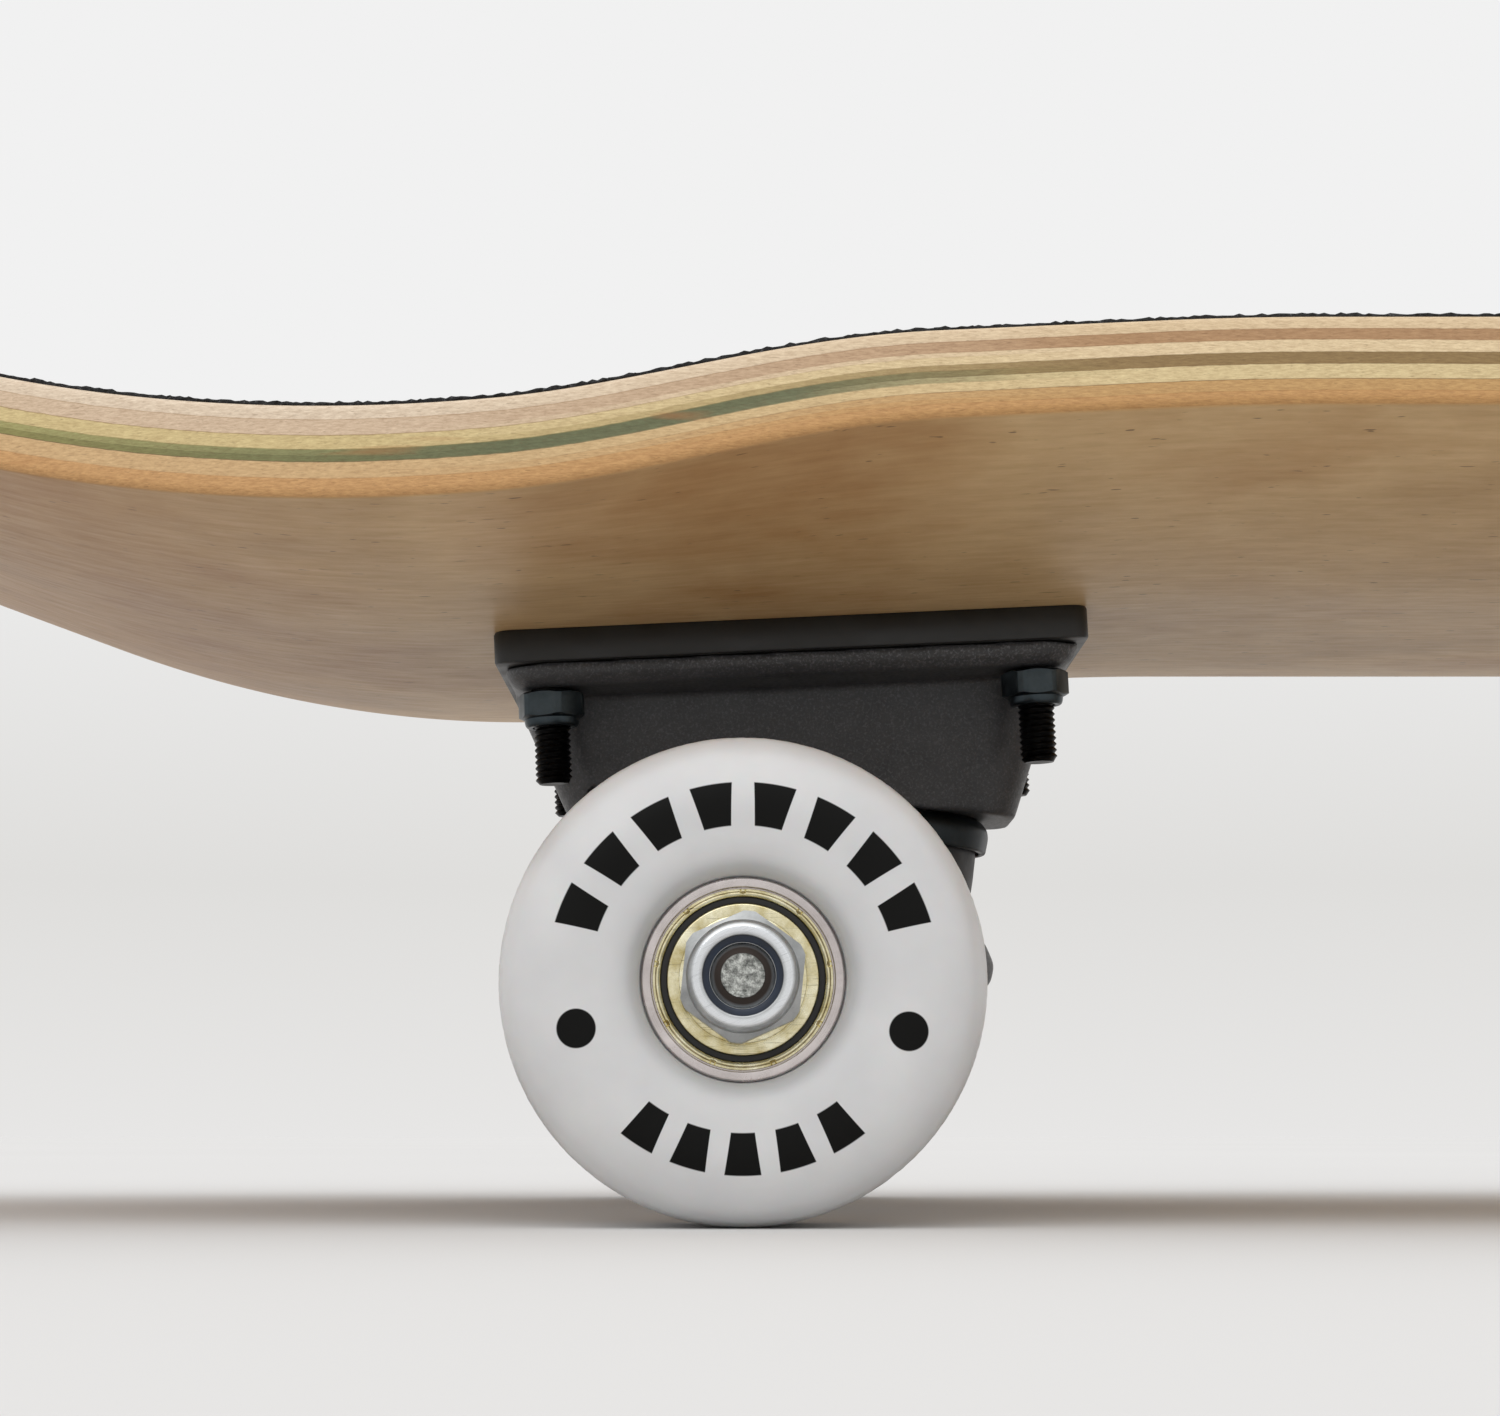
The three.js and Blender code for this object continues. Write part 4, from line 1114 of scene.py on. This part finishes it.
# ---------- hanger and axle
def hanger_mesh():
    """Casting: axle beam, web, cushion ring, neck and pivot nose."""
    beam_end = [(10.5, 22), (9.6, 40), (9, HANGER_HALF - 0.8), (8.4, HANGER_HALF), (0, HANGER_HALF)]
    other_end = [(radius, -level) for radius, level in reversed(beam_end)]
    beam = turned(other_end + beam_end, 72, closed=False)
    ring = turned([
        (0, RING_BOTTOM), (14, RING_BOTTOM), (15.6, RING_BOTTOM + 2), (16, RING_LEVEL),
        (14.6, RING_TOP - 1.4), (BUSHING_SEAT_RADIUS, RING_TOP), (0, RING_TOP),
    ], 72, closed=False)
    web = prism([(6, 14.4), (-16, 44), (-21, 44), (-21, -44), (-16, -44), (6, -14.4)], -20.4, -14)
    neck = prism([(-10, 0), (5, 0), (5, 12), (3, 22), (-2, 24), (-6, 19), (-10, 8)], -6, 6)
    neck.transform(Matrix.Rotation(math.pi / 2, 4, "X"))
    nose = turned([
        (0, NOSE_START), (5.8, NOSE_START), (5.8, 29.5), (5, CUP_MOUTH - 1), (5, 38.6), (3.6, 41.4),
        (0, CUP_FLOOR - 0.4),
    ], closed=False)
    body = cast([
        (cleaned(beam), axle_frame),
        (ring, kingpin_frame), (web, kingpin_frame),
        (cleaned(neck), here),
        (nose, steering_frame),
    ], 0.5, 9)
    scoop = lathe([
        (0, -60), (13.6, -60), (13.6, -32.5, 3), (11.6, -26, 2), (11.6, RING_BOTTOM),
        (0, RING_BOTTOM),
    ], closed=False)
    tools = [
        (scoop, kingpin_frame),
        (rod(BUSHING_SEAT_RADIUS, RING_TOP, -3, 72), kingpin_frame),
        (rod(RING_HOLE_RADIUS, -30, 0), kingpin_frame),
        (rod(AXLE_RADIUS + 0.05, -HANGER_HALF - 1, HANGER_HALF + 1), axle_frame),
    ]
    return shaded(combined(body, tools), 40)


def axle_mesh():
    """Axle with threaded ends, each chamfered down to its sawn face."""
    low = AXLE_HALF - 10
    segments = 56
    end = [
        (3.45, AXLE_HALF - 1.9), (3.4, AXLE_HALF - 0.8), (2.95, AXLE_HALF - 0.6),
        (2.4, AXLE_HALF - 0.08), (2.3, AXLE_HALF), (0, AXLE_HALF),
    ]
    thread = threaded(AXLE_RADIUS, AXLE_PITCH, 0.5, low, AXLE_HALF - 2.2, segments)
    far = thread[::-1] * np.array([1, 1, -1])
    far_end = around([(radius, -height) for radius, height in reversed(end)], segments)
    shaft = around([(AXLE_RADIUS, -low + 0.4), (AXLE_RADIUS, low - 0.4)], segments)
    return shaded(skin(np.concatenate([far_end, far, shaft, thread, around(end, segments)])))


def add_hanger(truck, place):
    body = f"{truck}_steering"
    piece(f"{truck}_hanger_casting", shapes["hanger"], cast_alloy, place, body,
          f"{truck}_hanger")
    stand_in(f"{truck}_axle", "axle", axle_steel, place @ axle_frame, body)


# ---------- wheels and bearings
def wheel_mesh():
    """Urethane wheel about Z: crowned faces, round shoulders and a lightly scuffed tread."""
    lip = SPACER_HALF - 0.3
    face = [
        (9.4, lip, 0.2), (BEARING_RADIUS, lip, 0.1), (BEARING_RADIUS, 11.5), (11.14, 11.7),
        (11.14, 12.6, 0.3), (11.5, 13.5, 0.6), (12.5, 14.8, 1.6), (14.4, 15.5, 1.2),
        (20, WHEEL_HALF, 3), (24.4, 14.3, 2.6), (26.1, 11.4, 1.4), (WHEEL_RADIUS, 9.4, 0.8),
    ]
    up = filleted([(9.4, -lip, 0.2), *face, (WHEEL_RADIUS, -9.4)], 6)
    half = [(radius, height) for radius, height in up if height > 0]
    tread = [(WHEEL_RADIUS, height) for height in np.linspace(half[-1][1], -half[-1][1], 22)[1:-1]]
    down = [(radius, -height) for radius, height in reversed(half)]
    profile = half + tread + down
    rings = around(profile, 300)
    radius = np.hypot(rings[:, :, 0], rings[:, :, 1])
    scuff = rng.normal(0, 1, radius.shape)
    scuff += np.roll(scuff, 1, axis=1) + np.roll(scuff, 1, axis=0)
    worn = np.clip((radius - WHEEL_RADIUS + 0.6) / 0.6, 0, 1)
    rings[:, :, :2] *= (1 - 0.0009 * worn * np.abs(scuff))[:, :, None]
    return shaded(skin(rings, closed=True), 50)


def bearing_ring():
    """Hard outer ring, from z = 0 up, with a ball track and shield grooves inside."""
    top = BEARING_WIDTH
    return lathe([
        (9.1, 0.9), (9.88, 0.9), (9.93, 0, 0.12), (BEARING_RADIUS, 0, 0.3),
        (BEARING_RADIUS, top, 0.3), (9.93, top, 0.12), (9.88, top - 0.9), (9.1, top - 0.9),
        (8.9, top - 1.6), (9.3, top / 2, 1.2), (8.9, 1.6),
    ], 4, 120)


def bearing_shield():
    """Pressed shield with a curled rim, notched at nine places."""
    segments = 360
    profile = filleted([
        (6.55, 0.1), (6.6, 0.3, 0.08), (8.15, 0.3, 0.2), (8.22, -0.3), (8.85, -0.3),
        (8.92, 0.3, 0.12), (9.3, 0.44, 0.16), (9.5, 0.18, 0.1), (9.74, 0.26, 0.12), (9.76, -0.3),
        (8.1, -0.45), (8.1, 0.1),
    ], 4)
    rings = around(profile, segments)
    angles = np.linspace(0, 360, segments, endpoint=False)
    off = np.abs((angles - 90 + 20) % 40 - 20)
    notch = np.clip((1.7 - off) / 0.7, 0, 1)
    radius = np.hypot(rings[:, :, 0], rings[:, :, 1])
    on_rim = np.clip((radius - 9.2) / 0.1, 0, 1)
    rings[:, :, 2] -= 0.3 * on_rim * notch[None, :] * (rings[:, :, 2] > 0)
    return shaded(skin(rings, closed=True), 40)


def groove_shadow_ring():
    """Dark ring in the shield's groove: painted shadow, not a part of the bearing."""
    return lathe([
        (8.2, -0.4), (8.87, -0.4), (8.87, -0.05, 0.08), (8.2, -0.05, 0.08),
    ], 3, 96)


def bearing_balls():
    """Seven balls, and the flat ring that keeps them apart."""
    centre = BEARING_WIDTH / 2
    work = bmesh.new()
    for count in range(7):
        place = Matrix.Rotation(2 * math.pi * count / 7, 4, "Z") @ shift(7.65, 0, centre)
        bmesh.ops.create_icosphere(work, subdivisions=3, radius=1.6 * MM, matrix=place)
    mesh = bpy.data.meshes.new("shape")
    work.to_mesh(mesh)
    work.free()
    low, high = centre - 1.1, centre - 0.7
    cage = turned([(7.3, low), (8.0, low), (8.0, high), (7.3, high)])
    return shaded(joined([(mesh, here), (cage, here)]), 60)


def inner_sleeve():
    """Two inner rings on their spacer tube, with the middle at z = 0."""
    half = SPACER_HALF + BEARING_WIDTH
    upper = [
        (5.3, SPACER_HALF), (RACE_RADIUS, SPACER_HALF, 0.2), (RACE_RADIUS, SPACER_HALF + 2),
        (5.75, SPACER_HALF + 3.5, 1.4), (RACE_RADIUS, half - 2), (RACE_RADIUS, half, 0.25),
        (SLEEVE_BORE, half, 0.2),
    ]
    lower = [(radius, -height, *rest) for radius, height, *rest in reversed(upper)]
    return lathe([*lower, *upper], 4, 96)


def speed_washer():
    bore = AXLE_RADIUS + 0.08
    return lathe([(bore, 0), (6.9, 0, 0.12), (6.9, 0.85, 0.2), (bore, 0.85, 0.1)], 3)


def add_bearing(name, place, start, at):
    """One bearing from a level outwards: its ring and shields roll, its balls stay with the axle."""
    steering = name.split("_")[0] + "_steering"
    rolling = f"{name}_rolling"
    bearing = f"{name}_{place}"
    stand_in(f"{bearing}_bearing_ring", "bearing_ring", bearing_steel, at(start), rolling)
    piece(f"{bearing}_bearing_balls", shapes["balls"], bearing_steel, at(start), steering)
    faces = {
        "front": at(start + BEARING_WIDTH - SHIELD_DEPTH),
        "back": at(start + SHIELD_DEPTH) @ upside_down,
    }
    for face, on_face in faces.items():
        piece(f"{bearing}_shield_{face}", shapes["shield"], gold_zinc, on_face, rolling)
        # The dark ring in the shield's groove is painted shadow.
        piece(f"{bearing}_seal_{face}", shapes["groove_shadow"], groove_shadow_black, on_face, rolling)


def add_wheel(truck, side_name, side):
    """One wheel with its bearings, washers and axle nut; local z points outward."""
    name = f"{truck}_{side_name}"
    rolling, steering = f"{name}_rolling", f"{truck}_steering"
    centre = Matrix.Translation(Vector(joints[f"{name}_spin"]["pos_m"]))
    hub = centre @ Matrix.Rotation(-side * math.pi / 2, 4, "X")

    def at(level):
        return hub @ shift(0, 0, level - WHEEL_CENTRE)

    wheel_place = hub @ Matrix.Rotation(WHEEL_TURNS[name], 4, "Z")
    stand_in(f"{name}_wheel", "wheel", urethane, wheel_place, rolling)
    add_bearing(name, "inner", WHEEL_CENTRE - SPACER_HALF - BEARING_WIDTH, at)
    add_bearing(name, "outer", WHEEL_CENTRE + SPACER_HALF, at)
    stand_in(f"{name}_inner_races", "inner_sleeve", bearing_steel, hub, steering)
    for place, level in (("inner", HANGER_HALF + 0.02), ("outer", AXLE_NUT_START - 0.7)):
        washer = f"{name}_{place}_speed_washer"
        piece(washer, shapes["speed_washer"], gold_zinc, at(level), steering)
    nut_place = at(AXLE_NUT_START + 0.15) @ Matrix.Rotation(AXLE_NUT_TURNS[name], 4, "Z")
    stand_in(f"{name}_axle_nut", "axle_nut", bright_zinc, nut_place, steering)
    piece(f"{name}_axle_nut_insert", shapes["axle_insert"], blue_nylon, nut_place, steering)


# ---------- assembly
add_board()

shapes = {
    "riser": riser_mesh(),
    "baseplate": baseplate_mesh(),
    "deck_bolt": deck_bolt(),
    "deck_nut": lock_nut(*DECK_NUT),
    "kingpin": kingpin_mesh(),
    "kingpin_nut": lock_nut(*KINGPIN_NUT),
    "kingpin_insert": insert_ring(*KINGPIN_NUT[2:]),
    "cup_washer": cup_washer_mesh(),
    "roadside_washer": roadside_washer_mesh(),
    "pivot_cup": pivot_cup_mesh(),
    "boardside_bushing": bushing_mesh([
        (11.4, RING_TOP), (12.3, -5.5), (12.5, -1.4), (12.2, SEAT_LEVEL - CUSHION_WASHER),
    ]),
    "roadside_bushing": bushing_mesh([
        (8.6, LOWER_WASHER_LEVEL), (9.6, -26), (10.6, -21.8), (10.4, RING_BOTTOM),
    ]),
    "hanger": hanger_mesh(),
    "axle": axle_mesh(),
    "axle_nut": lock_nut(*AXLE_NUT),
    "axle_insert": insert_ring(*AXLE_NUT[2:]),
    "wheel": wheel_mesh(),
    "bearing_ring": bearing_ring(),
    "shield": bearing_shield(),
    "groove_shadow": groove_shadow_ring(),
    "balls": bearing_balls(),
    "inner_sleeve": inner_sleeve(),
    "speed_washer": speed_washer(),
}

for truck, place in trucks.items():
    add_mounting(truck, place)
    add_kingpin_group(truck, place)
    add_hanger(truck, place)
    add_wheel(truck, "left", -1)
    add_wheel(truck, "right", 1)


# ---------- studio
def add_floor():
    """Pale floor, wide enough that its far edge melts into the air's equal brightness."""
    work = bmesh.new()
    bmesh.ops.create_circle(work, cap_ends=True, radius=FLOOR_RADIUS, segments=64)
    mesh = bpy.data.meshes.new("studio_floor")
    work.to_mesh(mesh)
    work.free()
    mesh.materials.append(stage_look())
    obj = bpy.data.objects.new("studio_floor", mesh)
    bpy.context.scene.collection.objects.link(obj)


def add_sun(name, toward, strength, softness):
    """Distant soft light, from a direction that points at the light."""
    data = bpy.data.lights.new(name, "SUN")
    data.energy = strength
    data.angle = math.radians(softness)
    obj = bpy.data.objects.new(name, data)
    obj.rotation_euler = Vector(toward).to_track_quat("Z", "Y").to_euler()
    bpy.context.scene.collection.objects.link(obj)


def add_studio():
    add_floor()
    add_sun("key_light", (-0.35, -1.0, 1.3), 0.7, 60)
    add_sun("top_light", (0.2, 0.25, 1.0), 0.5, 90)
    world = bpy.data.worlds.new("studio_air")
    world.use_nodes = True
    nodes, links = world.node_tree.nodes, world.node_tree.links
    direction = nodes.new("ShaderNodeTexCoord").outputs["Generated"]
    height = nodes.new("ShaderNodeSeparateXYZ")
    shade = nodes.new("ShaderNodeValToRGB")
    fill_ramp(shade.color_ramp, [(math.sin(math.radians(rise)), color) for rise, color in AIR_SHADES])
    links.new(direction, height.inputs[0])
    links.new(height.outputs["Z"], shade.inputs["Fac"])
    links.new(shade.outputs["Color"], nodes["Background"].inputs["Color"])
    bpy.context.scene.world = world


def add_camera():
    """Low camera beside the nose truck's left wheel, tipped up under the deck."""
    data = bpy.data.cameras.new("camera")
    data.sensor_width = 36
    data.lens = CAMERA_LENS
    data.clip_start = 0.02
    camera = bpy.data.objects.new("camera", data)
    camera.location = [value * MM for value in CAMERA_PLACE]
    camera.rotation_euler = (math.pi / 2 + CAMERA_RISE, 0, 0)
    bpy.context.scene.collection.objects.link(camera)
    bpy.context.scene.camera = camera


add_studio()
add_camera()
bpy.context.scene.view_settings.view_transform = "Standard"
